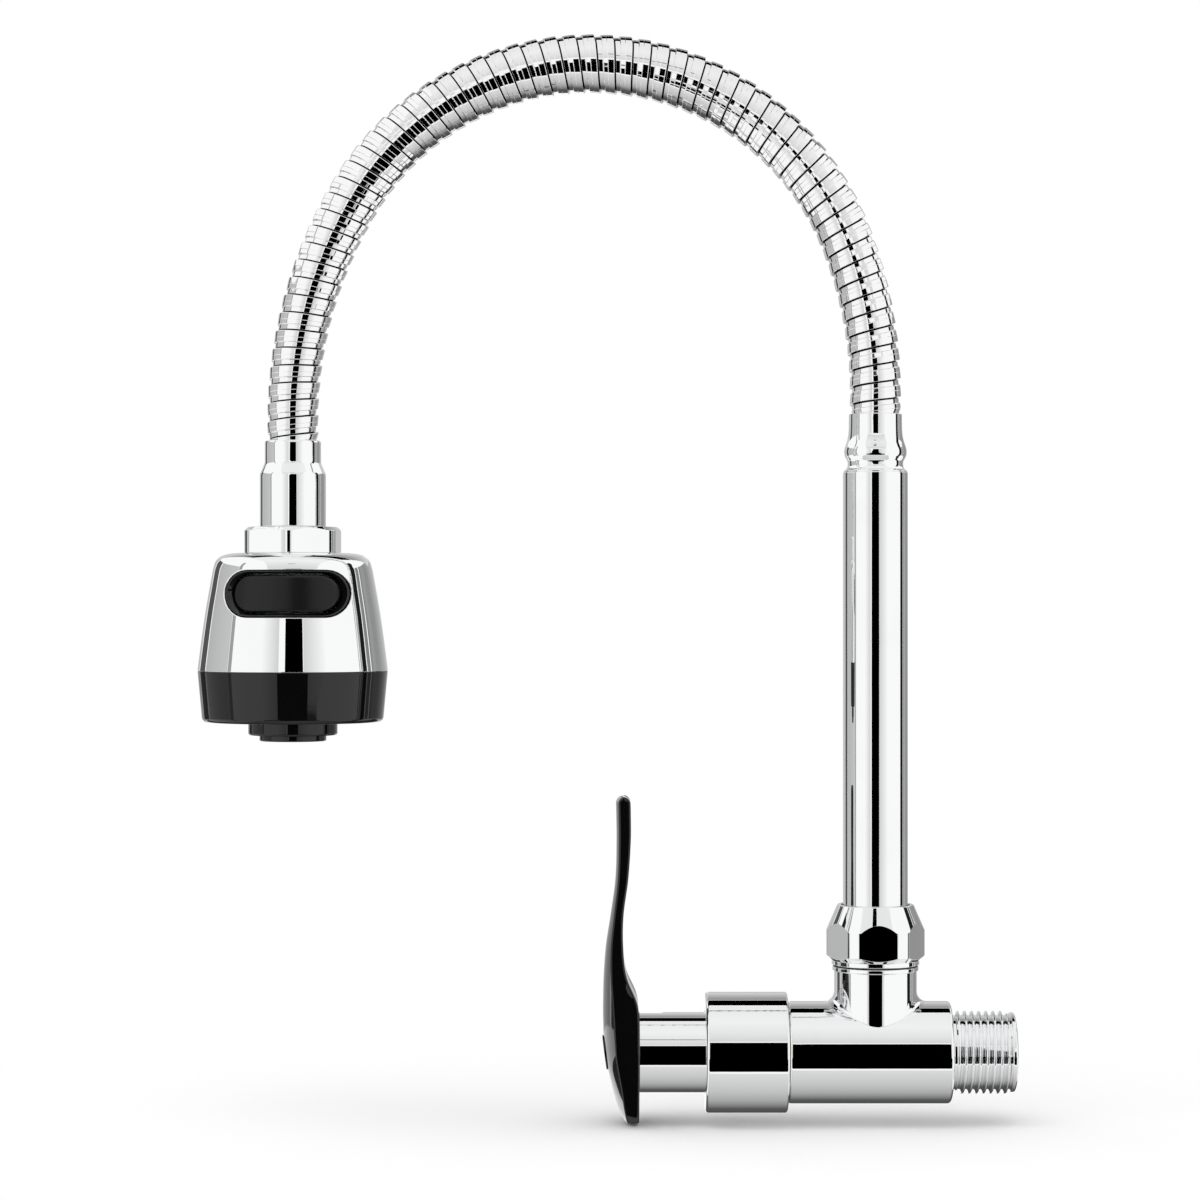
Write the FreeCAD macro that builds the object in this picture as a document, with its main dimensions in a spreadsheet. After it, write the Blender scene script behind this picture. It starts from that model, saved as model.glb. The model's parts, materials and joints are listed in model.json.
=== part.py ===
import FreeCAD, Part
import Sketcher
import math
import os
import re

# Flexible spout kitchen faucet, in millimetres.
# The origin is on the barrel axis, at the shoulder that meets the wall.
# +X runs along the inlet into the wall, +Z runs up the spout, and the lever is on the -X side.

doc = FreeCAD.newDocument("FlexibleSpoutFaucet")

# Driving sizes
SIZES = {
    # Valve body
    "barrel_radius": 12.95,
    "barrel_length": 41.6,
    "barrel_wall": 3.15,
    "barrel_edge": 0.9,
    "seat_depth": 6.0,
    "seat_wall": 3.0,
    "seat_hole_radius": 4.5,
    "inlet_bore_radius": 6.5,
    "thread_radius": 10.4775,
    "thread_depth": 1.16,
    "thread_pitch": 1.814,
    "thread_turns": 8,
    "crest_width": 0.4,
    "relief_length": 1.0,
    "relief_cone": 0.4,
    "seat_clearance": 0.15,
    "lead_length": 0.8,
    "spout_offset": 19.06,
    "boss_radius": 10.5,
    "boss_height": 20.9,
    "boss_fillet": 2.5,
    "rim_lip": 0.45,
    "rim_height": 1.3,
    "neck_radius": 9.6,
    "neck_height": 8.8,
    "neck_wall": 2.0,
    # Named clearances
    "thread_gap": 0.05,
    "running_gap": 0.05,
    "face_gap": 0.05,
    "ring_gap": 0.03,
    "free_gap": 0.3,
    # Bonnet, cartridge and handle
    "collar_radius": 15.3,
    "collar_length": 20.9,
    "collar_edge": 0.9,
    "collar_end_wall": 2.0,
    "gasket_thick": 1.5,
    "housing_nose_gap": 1.2,
    "housing_nose_wall": 1.6,
    "disc_chamber_depth": 12.0,
    "thread_start": 21.0,
    "housing_flange_thick": 4.0,
    "housing_flange_radius": 12.6,
    "housing_neck_radius": 7.5,
    "housing_neck_length": 12.4,
    "window_length": 4.5,
    "window_width": 7.0,
    "ceramic_thick": 2.5,
    "port_radius": 1.8,
    "port_reach": 3.9,
    "tongue_width": 3.0,
    "tongue_length": 4.4,
    "tongue_depth": 1.2,
    "spindle_radius": 4.0,
    "spindle_waist_radius": 3.2,
    "spindle_flange_thick": 2.0,
    "spindle_ring_inset": 6.0,
    "ring_groove_width": 2.0,
    "ring_groove_depth": 1.15,
    "square_flats": 5.6,
    "square_length": 8.0,
    "hub_radius": 10.15,
    "hub_length": 16.8,
    "hub_skirt": 8.0,
    "hub_wall": 1.8,
    "screw_radius": 1.95,
    "screw_grip": 10.0,
    "screw_head_radius": 3.6,
    "screw_head_thick": 2.2,
    "cap_radius": 4.4,
    "cap_wall": 0.7,
    "cap_thick": 1.6,
    "cap_proud": 0.1,
    "lever_floor": 4.0,
    "lever_reach": 65.3,
    "lever_drop": 18.0,
    "lever_depth": 9.27,
    "lever_arm_width": 12.0,
    "lever_shield_width": 30.0,
    # Spout
    "nut_corner_radius": 12.5,
    "nut_flats": 23.0,
    "nut_height": 15.5,
    "nut_top_radius": 9.7,
    "nut_cone_height": 6.4,
    "nut_foot_radius": 10.95,
    "nut_foot_height": 1.9,
    "tail_flange_thick": 2.0,
    "tail_reach": 19.0,
    "tail_bore_radius": 5.4,
    "tail_spigot_length": 9.0,
    "tail_ring_spacing": 5.0,
    "slip_thick": 1.2,
    "tube_radius": 8.25,
    "tube_wall": 1.25,
    "tube_visible": 110.2,
    "ferrule_height": 14.8,
    "ferrule_radius": 6.65,
    "ferrule_bead": 1.1,
    "ferrule_waist": 0.4,
    "barb_bore_radius": 1.9,
    "barb_plug_length": 8.0,
    # Gooseneck hose
    "hose_end_radius": 6.55,
    "hose_crown_swell": 0.95,
    "rib_depth": 0.7,
    "rib_groove": 1.6,
    "rib_ramp": 0.18,
    "ribs_per_section": 6,
    "hose_sections": 10,
    "hose_bore_radius": 4.2,
    "cuff_length": 8.0,
    "cuff_radius": 5.8,
    "ball_inset": 0.55,
    "ball_lip": 1.2,
    "ball_end": 1.3,
    "end_straight": 5.1,
    "water_tube_radius": 3.9,
    "water_tube_wall": 1.2,
    "riser_bend_radius": 108.6,
    "riser_bend_angle": 21.5,
    "crown_bend_radius": 70.0,
    "head_bend_radius": 111.0,
    "head_bend_angle": 30.8,
    # Spray head
    "head_ferrule_length": 21.9,
    "head_ferrule_radius": 7.15,
    "head_ferrule_foot": 8.4,
    "connector_neck_radius": 5.0,
    "connector_flange_radius": 7.2,
    "connector_flange_thick": 2.0,
    "head_nut_corner": 12.6,
    "head_nut_flats": 23.4,
    "head_nut_height": 6.6,
    "head_nut_edge": 1.0,
    "head_nut_roof": 2.0,
    "head_nut_skirt": 4.4,
    "head_nut_skirt_radius": 9.6,
    "core_neck_radius": 8.45,
    "washer_thick": 1.0,
    "core_column_radius": 12.8,
    "core_shoulder_radius": 14.5,
    "core_shoulder_height": 4.0,
    "core_bore_radius": 2.6,
    "core_deck_thick": 6.6,
    "core_spigot_radius": 20.3,
    "core_deck_gap": 1.0,
    "core_spigot_length": 7.4,
    "shell_height": 30.0,
    "shell_wall": 1.8,
    "shell_top_radius": 17.6,
    "shell_shoulder": 2.8,
    "shell_shoulder_radius": 20.2,
    "shell_mouth_radius": 24.1,
    "shell_belly": 0.4,
    "button_drop": 10.4,
    "bezel_length": 31.0,
    "bezel_height": 11.4,
    "bezel_rim": 0.75,
    "bezel_lift": 0.3,
    "bezel_depth": 2.6,
    "button_gap": 0.45,
    "button_lift": 0.5,
    "button_depth": 3.6,
    "button_tilt": 6.0,
    "pivot_reach": 15.0,
    "pivot_pin_radius": 0.8,
    "pivot_ear_wall": 0.8,
    "lug_height": 4.2,
    "ear_thick": 1.7,
    "peg_radius": 1.0,
    "spool_radius": 3.2,
    "spool_length": 17.0,
    "ring_height": 13.0,
    "ring_lip": 0.08,
    "ring_foot_radius": 22.9,
    "ring_edge": 1.0,
    "ring_ledge_thick": 1.5,
    "ring_ledge_width": 1.6,
    "plate_thick": 3.2,
    "pad_thick": 0.9,
    "nub_radius": 0.9,
    "nub_outer_count": 24,
    "nub_inner_count": 18,
    "nub_outer_reach": 16.8,
    "nub_inner_reach": 13.9,
    "nub_proud": 1.0,
    "nozzle_radius": 11.35,
    "nozzle_height": 4.9,
    "nozzle_lip_radius": 8.5,
    "nozzle_lip_height": 1.5,
    "nozzle_stem_radius": 9.4,
    "nozzle_stem_length": 10.0,
    "nozzle_bore_radius": 6.9,
    "nozzle_ledge": 0.9,
    "screen_thick": 1.5,
    "nozzle_recess": 3.5,
}

sheet = doc.addObject("Spreadsheet::Sheet", "Sizes")
for row, (alias, value) in enumerate(SIZES.items(), start=1):
    sheet.set("A%d" % row, alias)
    sheet.set("B%d" % row, str(value))
    sheet.setAlias("B%d" % row, alias)
doc.recompute()


def size(alias):
    """Return a driving size as a plain number."""
    return float(sheet.get(alias))


def bound(text):
    """Return an expression in which every driving size points at its cell."""
    def point_at_cell(word):
        name = word.group(0)
        return "Sizes." + name if name in SIZES else name
    return re.sub(r"[A-Za-z_][A-Za-z0-9_.]*", point_at_cell, str(text))


def total(*terms):
    """Return the expression that adds the terms."""
    return "(" + " + ".join(terms) + ")"


# Places that several pieces share, as expressions of the driving sizes.
# Depths run from the wall shoulder towards the lever, heights run up from the barrel axis.
CHAMBER_RADIUS = "(barrel_radius - barrel_wall)"
CHAMBER_DEPTH = "(seat_depth + seat_wall)"
NIPPLE_LENGTH = "(relief_length + thread_turns * thread_pitch + lead_length)"
THREAD_ROOT = "(thread_radius - thread_depth)"
NOSE_DEPTH = total(CHAMBER_DEPTH, "gasket_thick")
NOSE_RADIUS = "(barrel_radius - barrel_wall - housing_nose_gap)"
DISC_RADIUS = "(barrel_radius - barrel_wall - housing_nose_gap - housing_nose_wall)"
SHOULDER_DEPTH = total(NOSE_DEPTH, "disc_chamber_depth")
THREAD_DEPTH = total(CHAMBER_DEPTH, "thread_start")
FLANGE_DEPTH = "(barrel_length + housing_flange_thick)"
NECK_DEPTH = total(FLANGE_DEPTH, "housing_neck_length")
COLLAR_DEPTH = "(barrel_length + collar_length)"
HUB_START = total(COLLAR_DEPTH, "free_gap - collar_end_wall")
LEVER_DEPTH = "(barrel_length + collar_length + hub_length)"
HUB_SOLID = total(HUB_START, "hub_skirt")
SQUARE_DEPTH = total(HUB_SOLID, "square_length")
RIM_HEIGHT = "(boss_height + rim_height)"
NECK_TOP = total(RIM_HEIGHT, "neck_height")
TAIL_BORE = "(neck_radius - neck_wall)"
FLANGE_TOP = total(NECK_TOP, "face_gap + tail_flange_thick")
SLIP_TOP = total(FLANGE_TOP, "face_gap + slip_thick")
NUT_TOP = total(RIM_HEIGHT, "nut_height")
TUBE_TOP = total(NUT_TOP, "tube_visible")
HOSE_START = total(TUBE_TOP, "ferrule_height")
TUBE_BORE = "(tube_radius - tube_wall)"
HEAD_ACROSS = "HoseEnd.X / 1mm"
HEAD_HEIGHT = "HoseEnd.Z / 1mm"


def add_body(name):
    """Add a sub-part that is built from sketches."""
    body = doc.addObject("PartDesign::Body", name)
    body.Label = name
    return body


def sketch_on(body, name, role):
    """Add a sketch on one of the body's own origin planes."""
    sketch = body.newObject("Sketcher::SketchObject", name)
    plane = [feature for feature in body.Origin.OriginFeatures if feature.Role == role][0]
    sketch.AttachmentSupport = [(plane, "")]
    sketch.MapMode = "FlatFace"
    return sketch


def bind_point(sketch, geometry, end, across, along):
    """Hold one end of a sketch line, or a centre, at two driving distances."""
    for kind, text in (("DistanceX", across), ("DistanceY", along)):
        index = sketch.addConstraint(Sketcher.Constraint(kind, -1, 1, geometry, end, 1.0))
        sketch.setExpression("Constraints[%d]" % index, bound(text))


def draw_outline(sketch, points):
    """Draw a closed outline through points that are given as expressions."""
    first = sketch.GeometryCount
    count = len(points)
    rough = []
    for index in range(count):
        turn = 2 * math.pi * index / count
        rough.append(FreeCAD.Vector(10 * math.cos(turn), 10 * math.sin(turn), 0))
    for index in range(count):
        sketch.addGeometry(Part.LineSegment(rough[index], rough[(index + 1) % count]), False)
    for index in range(count):
        following = first + (index + 1) % count
        sketch.addConstraint(Sketcher.Constraint("Coincident", first + index, 2, following, 1))
        bind_point(sketch, first + index, 1, *points[index])


def draw_circle(sketch, across, along, radius):
    """Draw a circle whose centre and radius are expressions."""
    geometry = sketch.addGeometry(Part.Circle(FreeCAD.Vector(1, 1, 0), FreeCAD.Vector(0, 0, 1), 1), False)
    index = sketch.addConstraint(Sketcher.Constraint("Radius", geometry, 1.0))
    sketch.setExpression("Constraints[%d]" % index, bound(radius))
    bind_point(sketch, geometry, 3, across, along)


def draw_slot(sketch, length, height):
    """Draw a slot with round ends, centred on the sketch's origin."""
    half = bound("(%s) / 2" % length)
    end_radius = bound("(%s) / 2" % height)
    right = sketch.addGeometry(
        Part.ArcOfCircle(Part.Circle(FreeCAD.Vector(10, 0, 0), FreeCAD.Vector(0, 0, 1), 4),
                         -math.pi / 2, math.pi / 2), False)
    left = sketch.addGeometry(
        Part.ArcOfCircle(Part.Circle(FreeCAD.Vector(-10, 0, 0), FreeCAD.Vector(0, 0, 1), 4),
                         math.pi / 2, 3 * math.pi / 2), False)
    top = sketch.addGeometry(Part.LineSegment(FreeCAD.Vector(10, 4, 0), FreeCAD.Vector(-10, 4, 0)), False)
    low = sketch.addGeometry(Part.LineSegment(FreeCAD.Vector(-10, -4, 0), FreeCAD.Vector(10, -4, 0)), False)
    sketch.addConstraint(Sketcher.Constraint("Tangent", right, 2, top, 1))
    sketch.addConstraint(Sketcher.Constraint("Tangent", top, 2, left, 1))
    sketch.addConstraint(Sketcher.Constraint("Tangent", left, 2, low, 1))
    sketch.addConstraint(Sketcher.Constraint("Tangent", low, 2, right, 1))
    radius = sketch.addConstraint(Sketcher.Constraint("Radius", right, 4.0))
    sketch.setExpression("Constraints[%d]" % radius, end_radius)
    sketch.addConstraint(Sketcher.Constraint("Equal", right, left))
    sketch.addConstraint(Sketcher.Constraint("PointOnObject", right, 3, -1))
    sketch.addConstraint(Sketcher.Constraint("PointOnObject", left, 3, -1))
    for arc, sign in ((right, ""), (left, "-")):
        index = sketch.addConstraint(Sketcher.Constraint("DistanceX", -1, 1, arc, 3, 10.0))
        sketch.setExpression("Constraints[%d]" % index, "%s(%s - %s)" % (sign, half, end_radius))


def move_to(piece, across=None, depth=None, height=None):
    """Bind a sub-part's place to expressions."""
    for axis, text in (("x", across), ("y", depth), ("z", height)):
        if text is not None:
            piece.setExpression("Placement.Base." + axis, bound(text))


def turn(body, name, points, axis, kind="PartDesign::Revolution", offset=None):
    """Turn an outline about X or Z, either adding metal or cutting it."""
    sketch = sketch_on(body, name + "Outline", "XZ_Plane")
    draw_outline(sketch, points)
    if offset:
        sketch.setExpression("AttachmentOffset.Base.x", bound(offset))
    feature = body.newObject(kind, name)
    feature.Profile = sketch
    feature.ReferenceAxis = (sketch, ["H_Axis" if axis == "X" else "V_Axis"])
    feature.Angle = 360
    return feature


def cut_turned(body, name, points, axis, offset=None):
    """Cut a turned hollow."""
    return turn(body, name, points, axis, "PartDesign::Groove", offset)


def turned_along_x(name, points):
    """Make a piece turned about the barrel axis from (depth, radius) points."""
    body = add_body(name)
    turn(body, name + "Turned", [("-(%s)" % depth, radius) for depth, radius in points], "X")
    return body


def turned_on_spout(name, points):
    """Make a piece turned about the spout axis from (height, radius) points."""
    body = add_body(name)
    turn(body, name + "Turned", [(radius, height) for height, radius in points], "Z")
    move_to(body, across="-spout_offset")
    return body


def turned_on_head(name, points):
    """Make a piece turned about the head axis from (drop below the hose's end, radius) points."""
    body = add_body(name)
    turn(body, name + "Turned", [(radius, "-(%s)" % drop) for drop, radius in points], "Z")
    seat_on_head(body)
    return body


def seat_on_head(piece, drop="0"):
    """Put a sub-part's own origin on the head axis, a drop below the hose's end."""
    move_to(piece, across=HEAD_ACROSS, height="%s - (%s)" % (HEAD_HEIGHT, drop))


def pad(body, name, sketch, length, midplane=False, reverse=False, kind="PartDesign::Pad"):
    """Give a sketch a thickness, either adding metal or cutting it."""
    feature = body.newObject(kind, name)
    feature.Profile = sketch
    feature.setExpression("Length", bound(length))
    feature.Midplane = midplane
    feature.Reversed = reverse
    return feature


def pocket(body, name, sketch, length, midplane=False, reverse=False):
    """Cut a sketch out of the body."""
    return pad(body, name, sketch, length, midplane, reverse, "PartDesign::Pocket")


def cut_hexagon(body, name, across_flats, corner_radius, height, first_turn, base="0"):
    """Cut six flats on a piece that is turned about its own Z axis."""
    sketch = sketch_on(body, name + "Outline", "XY_Plane")
    sketch.setExpression("AttachmentOffset.Base.z", bound(base))
    corners = []
    for corner in range(6):
        bearing = first_turn + 60 * corner
        reach = "(%s) / 2 / cos(30)" % across_flats
        corners.append(("%s * cos(%d)" % (reach, bearing), "%s * sin(%d)" % (reach, bearing)))
    draw_outline(sketch, corners)
    draw_circle(sketch, "0", "0", "(%s) * 1.5" % corner_radius)
    return pocket(body, name, sketch, height, reverse=True)


def rings(name, axis, count, inner, outer, centre, spacing):
    """Make O-rings of one size, side by side, as separate solids of one node."""
    pieces = []
    for index in range(count):
        ring = doc.addObject("Part::Torus", "%s_%d" % (name, index + 1))
        ring.setExpression("Radius1", bound("((%s) + (%s)) / 2" % (inner, outer)))
        ring.setExpression("Radius2", bound("((%s) - (%s)) / 2" % (outer, inner)))
        place = "(%s) + %d * (%s)" % (centre, index, spacing)
        if axis == "X":
            ring.Placement.Rotation = FreeCAD.Rotation(FreeCAD.Vector(0, 1, 0), 90)
            move_to(ring, across="-(%s)" % place)
        else:
            move_to(ring, across="-spout_offset", height=place)
        pieces.append(ring)
    if count == 1:
        pieces[0].Label = name
        return pieces[0]
    group = doc.addObject("Part::MultiFuse", name)
    group.Label = name
    group.Shapes = pieces
    return group


# Valve body: barrel, inlet thread, outlet boss and waterways
def make_valve_body():
    """Cast body with the inlet thread at its wall end and the spout boss on top."""
    body = add_body("valve_body")
    outline = [("-barrel_length", "0"), (NIPPLE_LENGTH, "0")]
    outline.append((NIPPLE_LENGTH, THREAD_ROOT))
    for crest in reversed(range(int(size("thread_turns")))):
        start = "relief_length + %d * thread_pitch" % crest
        slope = "(thread_pitch - crest_width) / 2"
        outline.append(("%s + thread_pitch" % start, THREAD_ROOT))
        outline.append(("%s + %s + crest_width" % (start, slope), "thread_radius"))
        outline.append(("%s + %s" % (start, slope), "thread_radius"))
    outline.append(("relief_length", THREAD_ROOT))
    outline.append(("relief_length - relief_cone", THREAD_ROOT))
    outline.append(("0", "thread_radius + seat_clearance"))
    outline.append(("0", "barrel_radius - barrel_edge"))
    outline.append(("-barrel_edge", "barrel_radius"))
    outline.append(("-barrel_length", "barrel_radius"))
    turn(body, "Barrel", outline, "X")
    boss = [("0", "0"), ("boss_radius", "0"), ("boss_radius", "boss_height")]
    boss.append(("boss_radius + rim_lip", "boss_height"))
    boss.append(("boss_radius + rim_lip", RIM_HEIGHT))
    boss.append(("neck_radius", RIM_HEIGHT))
    boss.append(("neck_radius", NECK_TOP))
    boss.append(("0", NECK_TOP))
    turned_boss = turn(body, "Boss", boss, "Z", offset="-spout_offset")
    doc.recompute()
    saddle = []
    for index, edge in enumerate(turned_boss.Shape.Edges, start=1):
        if edge.Curve.TypeId == "Part::GeomBSplineCurve":
            saddle.append("Edge%d" % index)
    fillet = body.newObject("PartDesign::Fillet", "BossFillet")
    fillet.Base = (turned_boss, saddle)
    fillet.setExpression("Radius", bound("boss_fillet"))
    doc.recompute()
    bore = [("-barrel_length", "0"), (NIPPLE_LENGTH, "0"), (NIPPLE_LENGTH, "inlet_bore_radius")]
    bore.append(("-seat_depth", "inlet_bore_radius"))
    bore.append(("-seat_depth", "seat_hole_radius"))
    bore.append(("-" + CHAMBER_DEPTH, "seat_hole_radius"))
    bore.append(("-" + CHAMBER_DEPTH, CHAMBER_RADIUS))
    bore.append(("-barrel_length", CHAMBER_RADIUS))
    cut_turned(body, "Waterway", bore, "X")
    outlet = [("0", "0"), (TAIL_BORE, "0"), (TAIL_BORE, NECK_TOP), ("0", NECK_TOP)]
    cut_turned(body, "Outlet", outlet, "Z", offset="-spout_offset")
    return body


# Bonnet and quarter-turn cartridge
def make_seat_gasket():
    """Rubber washer that seals the cartridge on the seat."""
    return turned_along_x("seat_gasket", [
        (CHAMBER_DEPTH, "seat_hole_radius"),
        (NOSE_DEPTH, "seat_hole_radius"),
        (NOSE_DEPTH, NOSE_RADIUS),
        (CHAMBER_DEPTH, NOSE_RADIUS)])


def make_cartridge_housing():
    """Brass housing, screwed into the barrel, with two outlet windows beside the discs."""
    spindle_bore = "(spindle_radius + running_gap)"
    body = turned_along_x("cartridge_housing", [
        (NOSE_DEPTH, DISC_RADIUS),
        (NOSE_DEPTH, NOSE_RADIUS),
        (THREAD_DEPTH, NOSE_RADIUS),
        (THREAD_DEPTH, CHAMBER_RADIUS + " - thread_gap"),
        ("barrel_length", CHAMBER_RADIUS + " - thread_gap"),
        ("barrel_length", "housing_flange_radius"),
        (FLANGE_DEPTH, "housing_flange_radius"),
        (FLANGE_DEPTH, "housing_neck_radius"),
        (NECK_DEPTH, "housing_neck_radius"),
        (NECK_DEPTH, spindle_bore),
        (SHOULDER_DEPTH, spindle_bore),
        (SHOULDER_DEPTH, DISC_RADIUS)])
    sketch = sketch_on(body, "WindowOutline", "XY_Plane")
    window_end = "(%s - spindle_flange_thick - free_gap)" % SHOULDER_DEPTH
    window_start = "(%s - window_length)" % window_end
    draw_outline(sketch, [
        ("-" + window_start, "window_width / 2"),
        ("-" + window_end, "window_width / 2"),
        ("-" + window_end, "-window_width / 2"),
        ("-" + window_start, "-window_width / 2")])
    pocket(body, "Windows", sketch, "barrel_radius * 2", midplane=True)
    return body


def make_ceramic_disc(name, start, quarter_turn):
    """Ceramic disc with two ports, standing square to the barrel axis."""
    body = add_body(name)
    sketch = sketch_on(body, name + "Outline", "YZ_Plane")
    draw_circle(sketch, "0", "0", DISC_RADIUS + " - running_gap")
    for side in ("", "-"):
        reach = side + "port_reach"
        across, along = ("0", reach) if quarter_turn else (reach, "0")
        draw_circle(sketch, across, along, "port_radius")
    pad(body, name + "Disc", sketch, "ceramic_thick - face_gap", reverse=True)
    move_to(body, across="-(%s)" % start)
    return body


def make_turning_disc():
    """Ceramic disc that the spindle turns, with a slot for the spindle's tongue."""
    start = total(NOSE_DEPTH, "ceramic_thick")
    body = make_ceramic_disc("turning_disc", start, True)
    doc.recompute()
    sketch = sketch_on(body, "SlotOutline", "YZ_Plane")
    sketch.setExpression("AttachmentOffset.Base.z", bound("-(ceramic_thick - face_gap)"))
    half_width = "(tongue_width / 2 + running_gap)"
    half_length = "(tongue_length / 2 + running_gap)"
    draw_outline(sketch, [
        (half_length, "-" + half_width),
        (half_length, half_width),
        ("-" + half_length, half_width),
        ("-" + half_length, "-" + half_width)])
    pocket(body, "TongueSlot", sketch, "tongue_depth + face_gap", reverse=True)
    return body


def make_spindle():
    """Brass spindle: drive tongue, flange, sealed shaft and a square for the handle."""
    disc_end = total(NOSE_DEPTH, "2 * ceramic_thick")
    flange_start = "(%s - spindle_flange_thick)" % SHOULDER_DEPTH
    groove = "(spindle_radius - ring_groove_depth)"
    outline = [(disc_end, "0"), (disc_end, "spindle_waist_radius")]
    outline.append((flange_start, "spindle_waist_radius"))
    outline.append((flange_start, DISC_RADIUS + " - free_gap"))
    outline.append((SHOULDER_DEPTH + " - face_gap", DISC_RADIUS + " - free_gap"))
    outline.append((SHOULDER_DEPTH + " - face_gap", "spindle_radius"))
    for ring in range(2):
        near = "%s + spindle_ring_inset * %d" % (SHOULDER_DEPTH, ring + 1)
        outline.append((near, "spindle_radius"))
        outline.append((near, groove))
        outline.append((near + " + ring_groove_width", groove))
        outline.append((near + " + ring_groove_width", "spindle_radius"))
    outline.append((HUB_SOLID, "spindle_radius"))
    outline.append((HUB_SOLID, "0"))
    body = turned_along_x("spindle", outline)
    tongue = sketch_on(body, "TongueOutline", "YZ_Plane")
    tongue.setExpression("AttachmentOffset.Base.z", bound("-(%s)" % disc_end))
    draw_outline(tongue, [
        ("tongue_length / 2", "-tongue_width / 2"),
        ("tongue_length / 2", "tongue_width / 2"),
        ("-tongue_length / 2", "tongue_width / 2"),
        ("-tongue_length / 2", "-tongue_width / 2")])
    pad(body, "Tongue", tongue, "tongue_depth - face_gap")
    square = sketch_on(body, "SquareOutline", "YZ_Plane")
    square.setExpression("AttachmentOffset.Base.z", bound("-(%s)" % HUB_SOLID))
    draw_outline(square, square_points("square_flats / 2"))
    pad(body, "Square", square, "square_length", reverse=True)
    end = "(%s)" % SQUARE_DEPTH
    cut_turned(body, "ScrewHole", [
        ("-%s" % end, "0"),
        ("-(%s - screw_grip)" % end, "0"),
        ("-(%s - screw_grip)" % end, "screw_radius + thread_gap"),
        ("-%s" % end, "screw_radius + thread_gap")], "X")
    return body


def square_points(half):
    """Return the corners of a square about the sketch's origin."""
    return [(half, "-" + half), (half, half), ("-" + half, half), ("-" + half, "-" + half)]


def make_spindle_rings():
    """Two O-rings in the spindle's grooves."""
    inner = "spindle_radius - ring_groove_depth + ring_gap"
    outer = "spindle_radius + running_gap - ring_gap"
    centre = "%s + spindle_ring_inset + ring_groove_width / 2" % SHOULDER_DEPTH
    return rings("spindle_o_rings", "X", 2, inner, outer, centre, "spindle_ring_inset")


def make_housing_ring():
    """O-ring round the cartridge nose, against the first thread."""
    inner = "%s + ring_gap" % NOSE_RADIUS
    outer = "%s - ring_gap" % CHAMBER_RADIUS
    centre = "%s - (housing_nose_gap - 2 * ring_gap) / 2 - ring_gap" % THREAD_DEPTH
    return rings("housing_o_ring", "X", 1, inner, outer, centre, "0")


def make_bonnet_collar():
    """Chromed collar that hides the cartridge's flange and guides the hub."""
    inner = "housing_flange_radius + thread_gap"
    wall = "(%s - collar_end_wall)" % COLLAR_DEPTH
    return turned_along_x("bonnet_collar", [
        ("barrel_length", inner),
        ("barrel_length", "collar_radius - collar_edge"),
        ("barrel_length + collar_edge", "collar_radius"),
        (COLLAR_DEPTH + " - collar_edge", "collar_radius"),
        (COLLAR_DEPTH, "collar_radius - collar_edge"),
        (COLLAR_DEPTH, "hub_radius + free_gap"),
        (wall, "hub_radius + free_gap"),
        (wall, inner)])


# Handle
def make_handle_hub():
    """Chromed sleeve between collar and lever, driven by the spindle's square."""
    inner = "(hub_radius - hub_wall)"
    body = turned_along_x("handle_hub", [
        (HUB_START, inner),
        (HUB_START, "hub_radius"),
        (LEVER_DEPTH, "hub_radius"),
        (LEVER_DEPTH, "screw_radius + free_gap / 2"),
        (HUB_SOLID, "screw_radius + free_gap / 2"),
        (HUB_SOLID, inner)])
    square = sketch_on(body, "SquareOutline", "YZ_Plane")
    square.setExpression("AttachmentOffset.Base.z", bound("-(%s)" % HUB_SOLID))
    draw_outline(square, square_points("(square_flats / 2 + running_gap)"))
    pocket(body, "SquareHole", square, "square_length", reverse=False)
    return body


# Heights on the lever as shares of its reach above the axis and its drop below it, then the front
# and back faces as shares of its depth, then the half width as a share of the shield and the arm.
LEVER_STATIONS = (
    (-0.985, 0.28, 0.06, 0.22, 0.0),
    (-0.93, 0.42, 0.0, 0.42, 0.0),
    (-0.72, 0.60, 0.0, 0.72, 0.0),
    (-0.38, 0.79, 0.0, 0.93, 0.0),
    (0.0, 0.94, 0.0, 1.0, 0.0),
    (0.13, 1.0, 0.0, 0.93, 0.07),
    (0.21, 0.99, 0.06, 0.77, 0.23),
    (0.31, 0.97, 0.35, 0.50, 0.50),
    (0.42, 0.91, 0.44, 0.26, 0.74),
    (0.54, 0.78, 0.43, 0.10, 0.87),
    (0.68, 0.64, 0.30, 0.02, 0.92),
    (0.83, 0.62, 0.23, 0.0, 0.98),
    (0.94, 0.64, 0.24, 0.0, 0.99),
    (0.985, 0.60, 0.29, 0.0, 0.80),
    (1.0, 0.52, 0.36, 0.0, 0.50),
)
# Shares of the lever's thickness that its back bevels and its front crown take
LEVER_BEVEL = 0.3
LEVER_CROWN = 0.45


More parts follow.
